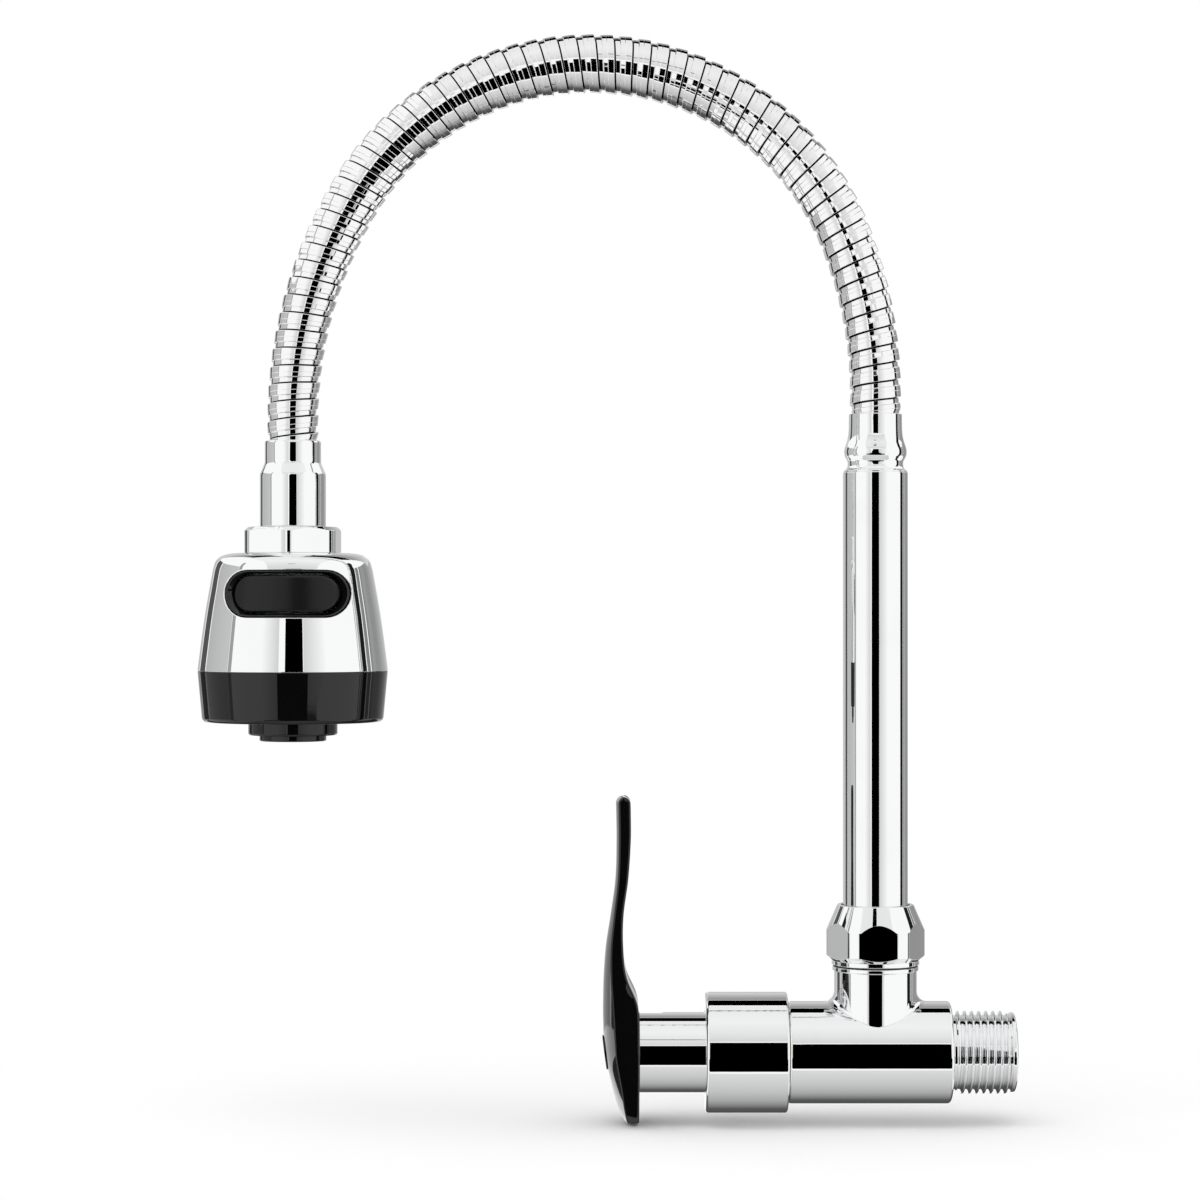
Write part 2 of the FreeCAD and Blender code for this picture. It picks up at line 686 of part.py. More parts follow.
def lever_section(station):
    """Return one closed section of the lever: flat back, bevelled sides and a crowned front."""
    share, front_share, back_share, shield_share, arm_share = station
    height = share * size("lever_reach" if share > 0 else "lever_drop")
    front = -size("lever_depth") * front_share
    back = -size("lever_depth") * back_share
    half = (size("lever_shield_width") * shield_share + size("lever_arm_width") * arm_share) / 2
    bevel = LEVER_BEVEL * min(back - front, half)
    shoulder = front + LEVER_CROWN * (back - front)
    corners = [
        FreeCAD.Vector(back, bevel - half, height),
        FreeCAD.Vector(back, half - bevel, height),
        FreeCAD.Vector(back - bevel, half, height),
        FreeCAD.Vector(shoulder, half, height),
        FreeCAD.Vector(shoulder, -half, height),
        FreeCAD.Vector(back - bevel, -half, height)]
    edges = [Part.makeLine(corners[index], corners[index + 1]) for index in range(3)]
    crown = Part.Arc(corners[3], FreeCAD.Vector(front, 0, height), corners[4])
    edges.append(crown.toShape())
    edges.append(Part.makeLine(corners[4], corners[5]))
    edges.append(Part.makeLine(corners[5], corners[0]))
    return Part.Wire(edges)


def cylinder_along_x(radius, start, end):
    """Return a cylinder on the barrel axis between two depths."""
    length = end - start
    return Part.makeCylinder(radius, length, FreeCAD.Vector(-start, 0, 0), FreeCAD.Vector(-1, 0, 0))


def make_lever():
    """Gloss black lever: a shield over the hub that narrows into a flat arm."""
    lever = Part.makeLoft([lever_section(station) for station in LEVER_STATIONS], True, False)
    reach = size("lever_reach")
    behind = Part.makeBox(reach, reach * 2, reach * 4, FreeCAD.Vector(0, -reach, -reach * 2))
    lever = lever.cut(behind)
    depth = size("lever_depth") * 2
    floor = size("lever_floor")
    lever = lever.cut(cylinder_along_x(size("cap_radius") + size("thread_gap"), floor, depth))
    lever = lever.cut(cylinder_along_x(size("screw_radius") + size("free_gap") / 2, -1, depth))
    piece = doc.addObject("Part::Feature", "lever")
    piece.Label = "lever"
    piece.Shape = lever
    move_to(piece, across="-" + LEVER_DEPTH)
    return piece


def make_handle_screw():
    """Screw that clamps lever and hub on the spindle."""
    seat = total(LEVER_DEPTH, "lever_floor")
    tip = "(%s - screw_grip + free_gap)" % SQUARE_DEPTH
    body = turned_along_x("handle_screw", [
        (tip, "0"),
        (tip, "screw_radius"),
        (seat, "screw_radius"),
        (seat, "screw_head_radius"),
        (seat + " + screw_head_thick", "screw_head_radius"),
        (seat + " + screw_head_thick", "0")])
    sketch = sketch_on(body, "DriveOutline", "YZ_Plane")
    sketch.setExpression("AttachmentOffset.Base.z", bound("-(%s + screw_head_thick)" % seat))
    half = "screw_head_radius / 2"
    corners = []
    for corner in range(6):
        corners.append(("%s * cos(%d)" % (half, 60 * corner), "%s * sin(%d)" % (half, 60 * corner)))
    draw_outline(sketch, corners)
    pocket(body, "HexSocket", sketch, "screw_head_thick / 2", reverse=True)
    return body


def make_index_cap():
    """Plain cap that closes the screw's hole in the lever."""
    seat = total(LEVER_DEPTH, "lever_floor")
    top = "(%s + lever_depth * %s + cap_proud)" % (LEVER_DEPTH, LEVER_STATIONS[4][1])
    return turned_along_x("index_cap", [
        (seat, "cap_radius - cap_wall"),
        (seat, "cap_radius"),
        (top + " - cap_wall / 2", "cap_radius"),
        (top, "cap_radius - cap_wall / 2"),
        (top, "0"),
        (top + " - cap_thick", "0"),
        (top + " - cap_thick", "cap_radius - cap_wall")])


# Spout joint and riser
def make_spout_nut():
    """Hexagon nut with a long cone that holds the spout in the boss."""
    bore = "neck_radius + thread_gap"
    body = turned_on_spout("spout_nut", [
        (RIM_HEIGHT, bore),
        (RIM_HEIGHT, "nut_foot_radius"),
        (RIM_HEIGHT + " + nut_foot_height", "nut_corner_radius"),
        (NUT_TOP + " - nut_cone_height", "nut_corner_radius"),
        (NUT_TOP, "nut_top_radius"),
        (NUT_TOP, "tube_radius + free_gap"),
        (SLIP_TOP, "tube_radius + free_gap"),
        (SLIP_TOP, bore)])
    cut_hexagon(body, "Flats", "nut_flats", "nut_corner_radius", "nut_height", 0, RIM_HEIGHT)
    return body


def make_slip_ring():
    """Plastic ring between the tail's flange and the nut."""
    start = total(FLANGE_TOP, "face_gap")
    return turned_on_spout("slip_ring", [
        (start, "tube_radius + free_gap"),
        (start, "neck_radius"),
        (SLIP_TOP, "neck_radius"),
        (SLIP_TOP, "tube_radius + free_gap")])


def make_spout_tail():
    """Brass tail under the riser, with two O-ring grooves."""
    stem = "(%s - running_gap)" % TAIL_BORE
    groove = "(%s - running_gap - ring_groove_depth)" % TAIL_BORE
    spigot = "(%s - thread_gap)" % TUBE_BORE
    foot = "(%s - tail_reach)" % NECK_TOP
    outline = [(foot, "tail_bore_radius"), (foot, stem)]
    for ring in range(2):
        low = "%s + tail_ring_spacing * %d" % (foot, ring + 1)
        outline.append((low, stem))
        outline.append((low, groove))
        outline.append((low + " + ring_groove_width", groove))
        outline.append((low + " + ring_groove_width", stem))
    outline.append((NECK_TOP + " + face_gap", stem))
    outline.append((NECK_TOP + " + face_gap", "neck_radius - free_gap"))
    outline.append((FLANGE_TOP, "neck_radius - free_gap"))
    outline.append((FLANGE_TOP, spigot))
    outline.append((FLANGE_TOP + " + tail_spigot_length", spigot))
    outline.append((FLANGE_TOP + " + tail_spigot_length", "tail_bore_radius"))
    return turned_on_spout("spout_tail", outline)


def make_spout_rings():
    """Two O-rings in the tail's grooves."""
    inner = "%s - running_gap - ring_groove_depth + ring_gap" % TAIL_BORE
    outer = "%s - ring_gap" % TAIL_BORE
    centre = "%s - tail_reach + tail_ring_spacing + ring_groove_width / 2" % NECK_TOP
    return rings("spout_o_rings", "Z", 2, inner, outer, centre, "tail_ring_spacing")


def make_spout_tube():
    """Straight chromed riser tube."""
    return turned_on_spout("spout_tube", [
        (FLANGE_TOP, TUBE_BORE),
        (FLANGE_TOP, "tube_radius"),
        (TUBE_TOP + " - rim_lip", "tube_radius"),
        (TUBE_TOP, "tube_radius - rim_lip"),
        (TUBE_TOP, TUBE_BORE)])


# Waist, bead and sleeve of the lower ferrule: heights as shares of its height, swell as shares of the bead
FERRULE_PROFILE = (
    (0.08, 0.64), (0.15, 0.36), (0.24, 0.75), (0.31, 1.0), (0.38, 1.0), (0.46, 0.72), (0.57, 0.15),
    (0.66, 0.0), (0.98, 0.0))


def make_hose_ferrule_lower():
    """Beaded ferrule that grips the hose on top of the riser."""
    cuff = "cuff_radius + thread_gap"
    outline = [(TUBE_TOP, cuff), (TUBE_TOP, "tube_radius - rim_lip")]
    for share, swell in FERRULE_PROFILE:
        height = "%s + ferrule_height * %s" % (TUBE_TOP, share)
        outline.append((height, "ferrule_radius + ferrule_bead * %s" % swell))
    outline.append((HOSE_START, "ferrule_radius - ferrule_waist / 2"))
    outline.append((HOSE_START, cuff))
    return turned_on_spout("hose_ferrule_lower", outline)


def make_hose_barb_lower():
    """Brass barb: a plug in the riser's top, and a spigot that carries the water tube."""
    plug = "(%s - thread_gap)" % TUBE_BORE
    step = "(%s - cuff_length)" % HOSE_START
    spigot = "(water_tube_radius - water_tube_wall - thread_gap)"
    return turned_on_spout("hose_barb_lower", [
        (TUBE_TOP + " - barb_plug_length", "barb_bore_radius"),
        (TUBE_TOP + " - barb_plug_length", plug),
        (TUBE_TOP, plug),
        (TUBE_TOP, "cuff_radius"),
        (step, "cuff_radius"),
        (step, spigot),
        (HOSE_START, spigot),
        (HOSE_START, "barb_bore_radius")])


# Gooseneck route: a short straight rise, three tangent arcs and a short straight fall
END_TURN = "(cos(riser_bend_angle) + cos(head_bend_angle))"
ROUTE_SPAN = ("(riser_bend_radius * (1 - cos(riser_bend_angle)) + crown_bend_radius * %s"
              " + head_bend_radius * (1 - cos(head_bend_angle)))" % END_TURN)
ROUTE_RISE = ("(riser_bend_radius * sin(riser_bend_angle)"
              " + crown_bend_radius * (sin(head_bend_angle) - sin(riser_bend_angle))"
              " - head_bend_radius * sin(head_bend_angle))")


def make_hose_end():
    """Mark the point where the hose meets the head's ferrule."""
    mark = doc.addObject("Part::Vertex", "HoseEnd")
    mark.setExpression("X", bound("-spout_offset - %s" % ROUTE_SPAN))
    mark.setExpression("Z", bound("%s + %s" % (HOSE_START, ROUTE_RISE)))
    return mark


def route_arcs():
    """Return the route's arcs as (radius, angle turned) pairs, in radians."""
    first = math.radians(size("riser_bend_angle"))
    last = math.radians(size("head_bend_angle"))
    return (
        (size("riser_bend_radius"), first),
        (size("crown_bend_radius"), math.pi - first - last),
        (size("head_bend_radius"), last))


def hose_length():
    """Return the length of hose between the two ferrules."""
    arcs = sum(radius * angle for radius, angle in route_arcs())
    return arcs + 2 * size("end_straight")


def rib_pitch():
    """Return the spacing of the ribs, which fill the hose evenly."""
    return hose_length() / (size("hose_sections") * size("ribs_per_section"))


def route_point(station):
    """Return the hose's centre at a station along it, and the angle that it has turned."""
    across = 0.0
    height = min(station, size("end_straight"))
    left = station - size("end_straight")
    turned = 0.0
    for radius, angle in route_arcs():
        after = turned + min(max(left / radius, 0.0), angle)
        across -= radius * (math.cos(turned) - math.cos(after))
        height += radius * (math.sin(after) - math.sin(turned))
        turned = after
        left -= radius * angle
    height -= max(left, 0.0)
    return across, height, turned


def hose_circle(station, radius):
    """Return a circle round the hose, with its X axis held square to the bend."""
    across, height, turned = route_point(station)
    start = doc.getObject("HoseStart")
    centre = FreeCAD.Vector(start.X.Value + across, 0, start.Z.Value + height)
    along = FreeCAD.Vector(-math.sin(turned), 0, math.cos(turned))
    steady = FreeCAD.Vector(0, 1, 0)
    ring = Part.makeCircle(radius)
    ring.Placement = FreeCAD.Placement(centre, FreeCAD.Rotation(steady, along.cross(steady), along, "ZXY"))
    return Part.Wire([ring])


def hose_loft(circles):
    """Return the solid ruled through (station, radius) circles along the hose."""
    return Part.makeLoft([hose_circle(station, radius) for station, radius in circles], True, True)


def crest_radius(station):
    """Return the outer radius of the ribs, which swells towards the crown."""
    share = min(max(station / hose_length(), 0.0), 1.0)
    return size("hose_end_radius") + size("hose_crown_swell") * math.sin(math.pi * share) ** 2


def floor_radius(station):
    """Return the radius of the groove between two ribs."""
    return crest_radius(station) - size("rib_depth")


def pivot_station(joint):
    """Return where a joint between two hose sections turns; joint 1 follows section 1."""
    return joint * size("ribs_per_section") * rib_pitch() + size("ball_lip")


def sphere_circles(joint, gap, shares, reach):
    """Return circles on a sphere about a joint, from its lip side to a reach past it."""
    pivot = pivot_station(joint)
    radius = floor_radius(pivot) - size("ball_inset") + gap
    low = -size("ball_lip")
    circles = []
    for share in shares:
        offset = low + share * (reach - low)
        circles.append((pivot + offset, math.sqrt(radius ** 2 - offset ** 2)))
    return circles


def rib_circles(section):
    """Return four circles for each rib of a section: two at its foot and two on its crest."""
    pitch = rib_pitch()
    crest = pitch - size("rib_groove")
    ramp = size("rib_ramp")
    count = int(size("ribs_per_section"))
    circles = []
    for rib in range((section - 1) * count, section * count):
        start = rib * pitch
        circles.append((start, floor_radius(start)))
        circles.append((start + ramp, crest_radius(start)))
        circles.append((start + crest - ramp, crest_radius(start + crest)))
        circles.append((start + crest, floor_radius(start + crest)))
    return circles


def bore_circles(start, end, radius):
    """Return evenly spaced circles of one radius from one station to another."""
    steps = max(int(round((end - start) / rib_pitch())), 1)
    return [(start + (end - start) * step / steps, radius) for step in range(steps + 1)]


def tilt_reach():
    """Return how far past a joint the socket stays open for the tilting ball."""
    return size("ball_end") + size("ball_lip")


def make_hose_section(section):
    """Ribbed length of the stripwound hose: a socket at its start and a ball at its end."""
    last = int(size("hose_sections"))
    outer = rib_circles(section)
    past_end = size("free_gap")
    if section == 1:
        outer.insert(0, (-size("cuff_length"), size("cuff_radius")))
        inner = []
        bore_start = -size("cuff_length") - past_end
    else:
        socket = sphere_circles(section - 1, size("free_gap"), (0.0, 0.25, 0.5, 0.75, 1.0), tilt_reach())
        lip = socket[0]
        inner = [(lip[0] - past_end, lip[1])] + socket
        bore_start = socket[-1][0] + size("rib_ramp")
    if section == last:
        outer.append((hose_length(), size("cuff_radius")))
        outer.append((hose_length() + size("cuff_length"), size("cuff_radius")))
        bore_end = hose_length() + size("cuff_length") + past_end
    else:
        ball = sphere_circles(section, 0.0, (0.0, 0.35, 0.65, 1.0), size("ball_end"))
        neck = (outer[-1][0] + size("rib_ramp") / 2, ball[0][1] - size("rib_ramp"))
        outer.append(neck)
        outer += ball
        bore_end = ball[-1][0] + past_end
    inner += bore_circles(bore_start, bore_end, size("hose_bore_radius"))
    name = "hose_section_%02d" % section
    piece = doc.addObject("Part::Feature", name)
    piece.Label = name
    piece.Shape = hose_loft(outer).cut(hose_loft(inner))
    return piece


def make_water_tube(section):
    """Length of the rubber water tube that runs inside one hose section."""
    last = int(size("hose_sections"))
    start = -size("cuff_length") + size("face_gap")
    end = hose_length() + size("cuff_length") - size("face_gap")
    if section > 1:
        start = pivot_station(section - 1) + tilt_reach() + size("rib_ramp") + size("free_gap")
    if section < last:
        end = pivot_station(section) + size("ball_end") / 2
    outer = size("water_tube_radius")
    inner = outer - size("water_tube_wall")
    past_end = size("free_gap")
    tube = hose_loft(bore_circles(start, end, outer))
    name = "water_tube_%02d" % section
    piece = doc.addObject("Part::Feature", name)
    piece.Label = name
    piece.Shape = tube.cut(hose_loft(bore_circles(start - past_end, end + past_end, inner)))
    return piece


# Spray head, measured down from the hose's end
NUT_START = "(head_ferrule_length + face_gap * 2)"
NUT_FOOT = total(NUT_START, "head_nut_height")
CONNECTOR_FLANGE = total(NUT_START, "head_nut_roof + face_gap")
CONNECTOR_FOOT = total(CONNECTOR_FLANGE, "connector_flange_thick")
CORE_TOP = total(CONNECTOR_FOOT, "face_gap + washer_thick")
SHELL_FOOT = total(NUT_FOOT, "shell_height")
DECK_TOP = "(%s - core_deck_thick)" % SHELL_FOOT
SPIGOT_FOOT = total(SHELL_FOOT, "core_spigot_length")
PLATE_TOP = total(SPIGOT_FOOT, "pad_thick")
PLATE_FOOT = total(PLATE_TOP, "plate_thick")
RING_FOOT = total(PLATE_FOOT, "ring_ledge_thick")
BUTTON_DROP = total(NUT_FOOT, "button_drop")
NOZZLE_FOOT = total(PLATE_FOOT, "nozzle_height", "nozzle_lip_height")
STEM_TOP = "(%s - nozzle_stem_length)" % PLATE_FOOT
SCREEN_POCKET = "(nozzle_bore_radius - nozzle_ledge / 2)"
SPOOL_BORE = "(spool_radius + running_gap)"
PEG_SWING = "(pivot_reach * sin(button_tilt))"


def make_hose_ferrule_upper():
    """Ferrule that grips the hose above the spray head and flares towards it."""
    foot = "head_ferrule_length"
    bore = "cuff_radius + thread_gap"
    return turned_on_head("hose_ferrule_upper", [
        ("0", bore),
        ("0", "head_ferrule_radius - ferrule_waist / 2"),
        ("ferrule_waist", "head_ferrule_radius"),
        (foot + " * 0.29", "head_ferrule_radius"),
        (foot + " * 0.34", "(head_ferrule_radius + head_ferrule_foot) / 2"),
        (foot + " * 0.4", "head_ferrule_foot"),
        (foot, "head_ferrule_foot"),
        (foot, bore)])


def make_head_connector():
    """Barbed connector inside the ferrule, with the flange that the head turns on."""
    spigot = "(water_tube_radius - water_tube_wall - thread_gap)"
    return turned_on_head("head_connector", [
        ("0", "barb_bore_radius"),
        ("0", spigot),
        ("cuff_length", spigot),
        ("cuff_length", "cuff_radius"),
        ("head_ferrule_length", "cuff_radius"),
        ("head_ferrule_length", "connector_neck_radius"),
        (CONNECTOR_FLANGE, "connector_neck_radius"),
        (CONNECTOR_FLANGE, "connector_flange_radius"),
        (CONNECTOR_FOOT, "connector_flange_radius"),
        (CONNECTOR_FOOT, "barb_bore_radius")])


def make_head_nut():
    """Hexagon nut that carries the head on the connector's flange."""
    bore = "core_neck_radius + thread_gap"
    edge = "head_nut_corner - head_nut_edge"
    skirt_foot = total(NUT_FOOT, "head_nut_skirt")
    body = turned_on_head("head_nut", [
        (NUT_START, "connector_neck_radius + free_gap"),
        (NUT_START, edge),
        (NUT_START + " + head_nut_edge / 2", "head_nut_corner"),
        (NUT_FOOT, "head_nut_corner"),
        (NUT_FOOT, "head_nut_skirt_radius"),
        (skirt_foot, "head_nut_skirt_radius"),
        (skirt_foot, bore),
        (NUT_START + " + head_nut_roof", bore),
        (NUT_START + " + head_nut_roof", "connector_neck_radius + free_gap")])
    base = "-%s" % NUT_FOOT
    cut_hexagon(body, "Flats", "head_nut_flats", "head_nut_corner", "head_nut_height", 28, base)
    return body


def make_head_washer():
    """Rubber washer between the connector's flange and the core."""
    return turned_on_head("head_washer", [
        (CONNECTOR_FOOT + " + face_gap", "core_bore_radius"),
        (CONNECTOR_FOOT + " + face_gap", "core_neck_radius"),
        (CORE_TOP, "core_neck_radius"),
        (CORE_TOP, "core_bore_radius")])


def shell_radius(share):
    """Return the shell's outer radius at a share of the way from its shoulder to its mouth."""
    swell = 4 * share * (1 - share)
    return ("(shell_shoulder_radius + (shell_mouth_radius - shell_shoulder_radius) * %s"
            " + shell_belly * %s)" % (share, swell))


def shell_line(offset):
    """Return (drop, radius) points down the shell's side, at an offset from its outer face."""
    points = []
    for quarter in range(5):
        share = quarter / 4
        drop = "(%s + shell_shoulder + (shell_height - shell_shoulder) * %s)" % (NUT_FOOT, share)
        points.append((drop, "(%s + %s)" % (shell_radius(share), offset)))
    return points


def button_sketch(body, name):
    """Add a sketch that faces the front, centred on the button."""
    sketch = sketch_on(body, name, "XZ_Plane")
    sketch.setExpression("AttachmentOffset.Base.y", bound("-" + BUTTON_DROP))
    return sketch


def make_head_shell():
    """Chromed bell of the spray head, with the window for the button."""
    outer = [(NUT_FOOT, "shell_top_radius")]
    outer.append((NUT_FOOT + " + shell_shoulder * 0.25", "(shell_top_radius + shell_shoulder_radius * 2) / 3"))
    outer += shell_line("0")
    inner = shell_line("-shell_wall")
    inner.reverse()
    roof = "(%s + shell_wall)" % NUT_FOOT
    neck = "head_nut_skirt_radius + free_gap"
    inner.append((roof, "shell_top_radius - shell_wall / 2"))
    inner.append((roof, neck))
    body = turned_on_head("head_shell", [(NUT_FOOT, neck)] + outer + inner)
    window = button_sketch(body, "WindowOutline")
    draw_slot(window, "bezel_length + thread_gap * 2", "bezel_height + thread_gap * 2")
    pocket(body, "Window", window, "shell_mouth_radius * 2", reverse=True)
    return body


def trim_to_shell(body, outside, inside):
    """Cut a forward-facing pad back to a band that follows the shell's side."""
    far = "shell_mouth_radius * 3"
    outer = [(radius, "-(%s)" % drop) for drop, radius in shell_line(outside)]
    beyond = outer + [(far, outer[-1][1]), (far, outer[0][1])]
    cut_turned(body, "OutsideTrim", beyond, "Z")
    inner = [(radius, "-(%s)" % drop) for drop, radius in shell_line(inside)]
    core = [("0", inner[0][1])] + inner + [("0", inner[-1][1])]
    cut_turned(body, "InsideTrim", core, "Z")


def make_button_bezel():
    """Slim frame round the button, which follows the shell's curve."""
    body = add_body("button_bezel")
    sketch = button_sketch(body, "FrameOutline")
    draw_slot(sketch, "bezel_length", "bezel_height")
    draw_slot(sketch, "bezel_length - 2 * bezel_rim", "bezel_height - 2 * bezel_rim")
    pad(body, "Frame", sketch, "shell_mouth_radius * 2")
    trim_to_shell(body, "bezel_lift", "-bezel_depth")
    seat_on_head(body)
    return body


def make_rocker_button():
    """Pill-shaped rocker, at rest with its left end pressed in, with its lug and peg behind."""
    body = add_body("rocker_button")
    sketch = button_sketch(body, "FaceOutline")
    trim = "2 * (bezel_rim + button_gap)"
    draw_slot(sketch, "bezel_length - " + trim, "bezel_height - " + trim)
    pad(body, "Face", sketch, "shell_mouth_radius * 2")
    trim_to_shell(body, "button_lift", "-button_depth")
    doc.recompute()
    hub = "(pivot_pin_radius + running_gap + pivot_ear_wall)"
    lug = sketch_on(body, "LugOutline", "XY_Plane")
    lug.setExpression("AttachmentOffset.Base.z", bound("-%s - lug_height / 2" % BUTTON_DROP))
    front = "(%s - button_depth / 2)" % shell_radius(0.25)
    draw_outline(lug, [
        ("-" + hub, "-" + front),
        (hub, "-" + front),
        (hub, "-pivot_reach + " + hub),
        ("-" + hub, "-pivot_reach + " + hub)])
    pad(body, "Lug", lug, "lug_height")
    peg = button_sketch(body, "PegOutline")
    peg.setExpression("AttachmentOffset.Base.z", bound("-peg_radius / 2"))
    draw_circle(peg, "0", "0", "peg_radius")
    pad(body, "Peg", peg, "pivot_reach")
    hole = sketch_on(body, "PinHoleOutline", "XY_Plane")
    hole.setExpression("AttachmentOffset.Base.z", bound("-" + BUTTON_DROP))
    draw_circle(hole, "0", "-pivot_reach", "pivot_pin_radius + running_gap")
    pocket(body, "PinHole", hole, "lug_height * 2", midplane=True)
    body.Placement.Rotation = FreeCAD.Rotation(FreeCAD.Vector(0, 0, 1), 1)
    body.setExpression("Placement.Rotation.Angle", bound("360 - button_tilt"))
    move_to(body, "%s + %s" % (HEAD_ACROSS, PEG_SWING), "-pivot_reach * (1 - cos(button_tilt))", HEAD_HEIGHT)
    return body


def make_rocker_pin():
    """Steel pin that the rocker turns on."""
    body = add_body("rocker_pin")
    sketch = sketch_on(body, "PinOutline", "XY_Plane")
    sketch.setExpression("AttachmentOffset.Base.z", bound("-" + BUTTON_DROP))
    draw_circle(sketch, "0", "-pivot_reach", "pivot_pin_radius")
    pad(body, "Pin", sketch, "lug_height + 2 * (free_gap + ear_thick)", midplane=True)
    seat_on_head(body)
    return body


def make_diverter_spool():
    """Spool that the rocker's peg slides sideways to choose stream or spray."""
    body = add_body("diverter_spool")
    sketch = sketch_on(body, "SpoolOutline", "YZ_Plane")
    draw_circle(sketch, "0", "-" + BUTTON_DROP, "spool_radius")
    pad(body, "Spool", sketch, "spool_length", midplane=True)
    slot = button_sketch(body, "SlotOutline")
    half_width = "(peg_radius + free_gap + spool_radius * sin(button_tilt))"
    half_height = "(peg_radius + free_gap)"
    draw_outline(slot, [
        ("-" + half_width, "-" + half_height),
        (half_width, "-" + half_height),
        (half_width, half_height),
        ("-" + half_width, half_height)])
    pocket(body, "PegSlot", slot, "spool_radius * 3", midplane=True)
    move_to(body, "%s + %s" % (HEAD_ACROSS, PEG_SWING), None, HEAD_HEIGHT)
    return body


def make_head_core():
    """Moulded core: threaded neck, column with the diverter bore, deck and threaded spigot."""
    groove_floor = "(%s + head_nut_skirt + free_gap)" % NUT_FOOT
    shoulder_top = "(%s + shell_wall)" % NUT_FOOT
    shoulder_foot = "(%s + core_shoulder_height)" % shoulder_top
    deck = "(shell_mouth_radius - shell_wall - core_deck_gap)"
    body = turned_on_head("head_core", [
        (CORE_TOP, "0"),
        (CORE_TOP, "core_neck_radius"),
        (groove_floor, "core_neck_radius"),
        (groove_floor, "head_nut_skirt_radius + free_gap"),
        (shoulder_top, "head_nut_skirt_radius + free_gap"),
        (shoulder_top, "core_shoulder_radius"),
        (shoulder_foot, "core_shoulder_radius"),
        (shoulder_foot, "core_column_radius"),
        (DECK_TOP, "core_column_radius"),
        (DECK_TOP, deck),
        (SHELL_FOOT, deck),
        (SHELL_FOOT, "core_spigot_radius"),
        (SPIGOT_FOOT, "core_spigot_radius"),
        (SPIGOT_FOOT, "nozzle_stem_radius + thread_gap"),
        (STEM_TOP, "nozzle_stem_radius + thread_gap"),
        (STEM_TOP, "0")])
    half = "(pivot_pin_radius + running_gap + pivot_ear_wall)"
    for name, start in (("UpperEar", "lug_height / 2 + free_gap"),
                        ("LowerEar", "-lug_height / 2 - free_gap - ear_thick")):
        ear = sketch_on(body, name + "Outline", "XY_Plane")
        ear.setExpression("AttachmentOffset.Base.z", bound("-%s + %s" % (BUTTON_DROP, start)))
        draw_outline(ear, [
            ("-" + half, "-pivot_reach - " + half),
            (half, "-pivot_reach - " + half),
            (half, "0"),
            ("-" + half, "0")])
        pad(body, name, ear, "ear_thick")
    pin = sketch_on(body, "PinHoleOutline", "XY_Plane")
    pin.setExpression("AttachmentOffset.Base.z", bound("-" + BUTTON_DROP))
    draw_circle(pin, "0", "-pivot_reach", "pivot_pin_radius + thread_gap")
    pocket(body, "PinHole", pin, "(lug_height + 2 * (free_gap + ear_thick)) * 1.2", midplane=True)
    cross = sketch_on(body, "CrossBoreOutline", "YZ_Plane")
    draw_circle(cross, "0", "-" + BUTTON_DROP, SPOOL_BORE)
    pocket(body, "CrossBore", cross, "core_shoulder_radius * 2", midplane=True)
    window = button_sketch(body, "PegWindowOutline")
    half_width = "(peg_radius + free_gap + %s)" % PEG_SWING
    half_height = "(peg_radius + free_gap)"
    draw_outline(window, [
        ("-" + half_width, "-" + half_height),
        (half_width, "-" + half_height),
        (half_width, half_height),
        ("-" + half_width, half_height)])
    pocket(body, "PegWindow", window, "core_column_radius * 1.2", reverse=True)
    inlet = sketch_on(body, "InletOutline", "XY_Plane")
    inlet.setExpression("AttachmentOffset.Base.z", bound("-" + BUTTON_DROP))
    draw_circle(inlet, "0", "0", "core_bore_radius")
    pocket(body, "Inlet", inlet, "%s - %s" % (BUTTON_DROP, CORE_TOP), reverse=True)
    stream = sketch_on(body, "StreamOutline", "XY_Plane")
    stream.setExpression("AttachmentOffset.Base.z", bound("-" + BUTTON_DROP))
    draw_circle(stream, "nozzle_stem_radius / 2", "0", "port_radius")
    pocket(body, "StreamChannel", stream, "%s - %s" % (STEM_TOP, BUTTON_DROP))
    spray = sketch_on(body, "SprayOutline", "XY_Plane")
    spray.setExpression("AttachmentOffset.Base.z", bound("-" + BUTTON_DROP))
    draw_circle(spray, "-(nozzle_stem_radius + core_column_radius) / 2", "0", "port_radius / 2")
    pocket(body, "SprayChannel", spray, "%s - %s" % (SPIGOT_FOOT, BUTTON_DROP))
    return body


def make_face_ring():
    """Black ring screwed on the core, which holds the spray plate."""
    bore = "core_spigot_radius + thread_gap"
    ledge = "(core_spigot_radius - ring_ledge_width)"
    return turned_on_head("face_ring", [
        (SHELL_FOOT, bore),
        (SHELL_FOOT, "shell_mouth_radius + ring_lip"),
        (RING_FOOT + " - ring_edge", "ring_foot_radius + ring_lip"),
        (RING_FOOT + " - ring_edge * 0.3", "ring_foot_radius - ring_edge * 0.3"),
        (RING_FOOT, "ring_foot_radius - ring_edge"),
        (RING_FOOT, ledge),
        (PLATE_FOOT, ledge),
        (PLATE_FOOT, bore)])


def nub_circles(sketch, radius):
    """Draw the two rings of spray nubs."""
    for count, reach, half in (("nub_outer_count", "nub_outer_reach", 0), ("nub_inner_count", "nub_inner_reach", 0.5)):
        total_count = int(size(count))
        for index in range(total_count):
            bearing = 360 * (index + half) / total_count
            draw_circle(sketch, "%s * cos(%.6f)" % (reach, bearing), "%s * sin(%.6f)" % (reach, bearing), radius)


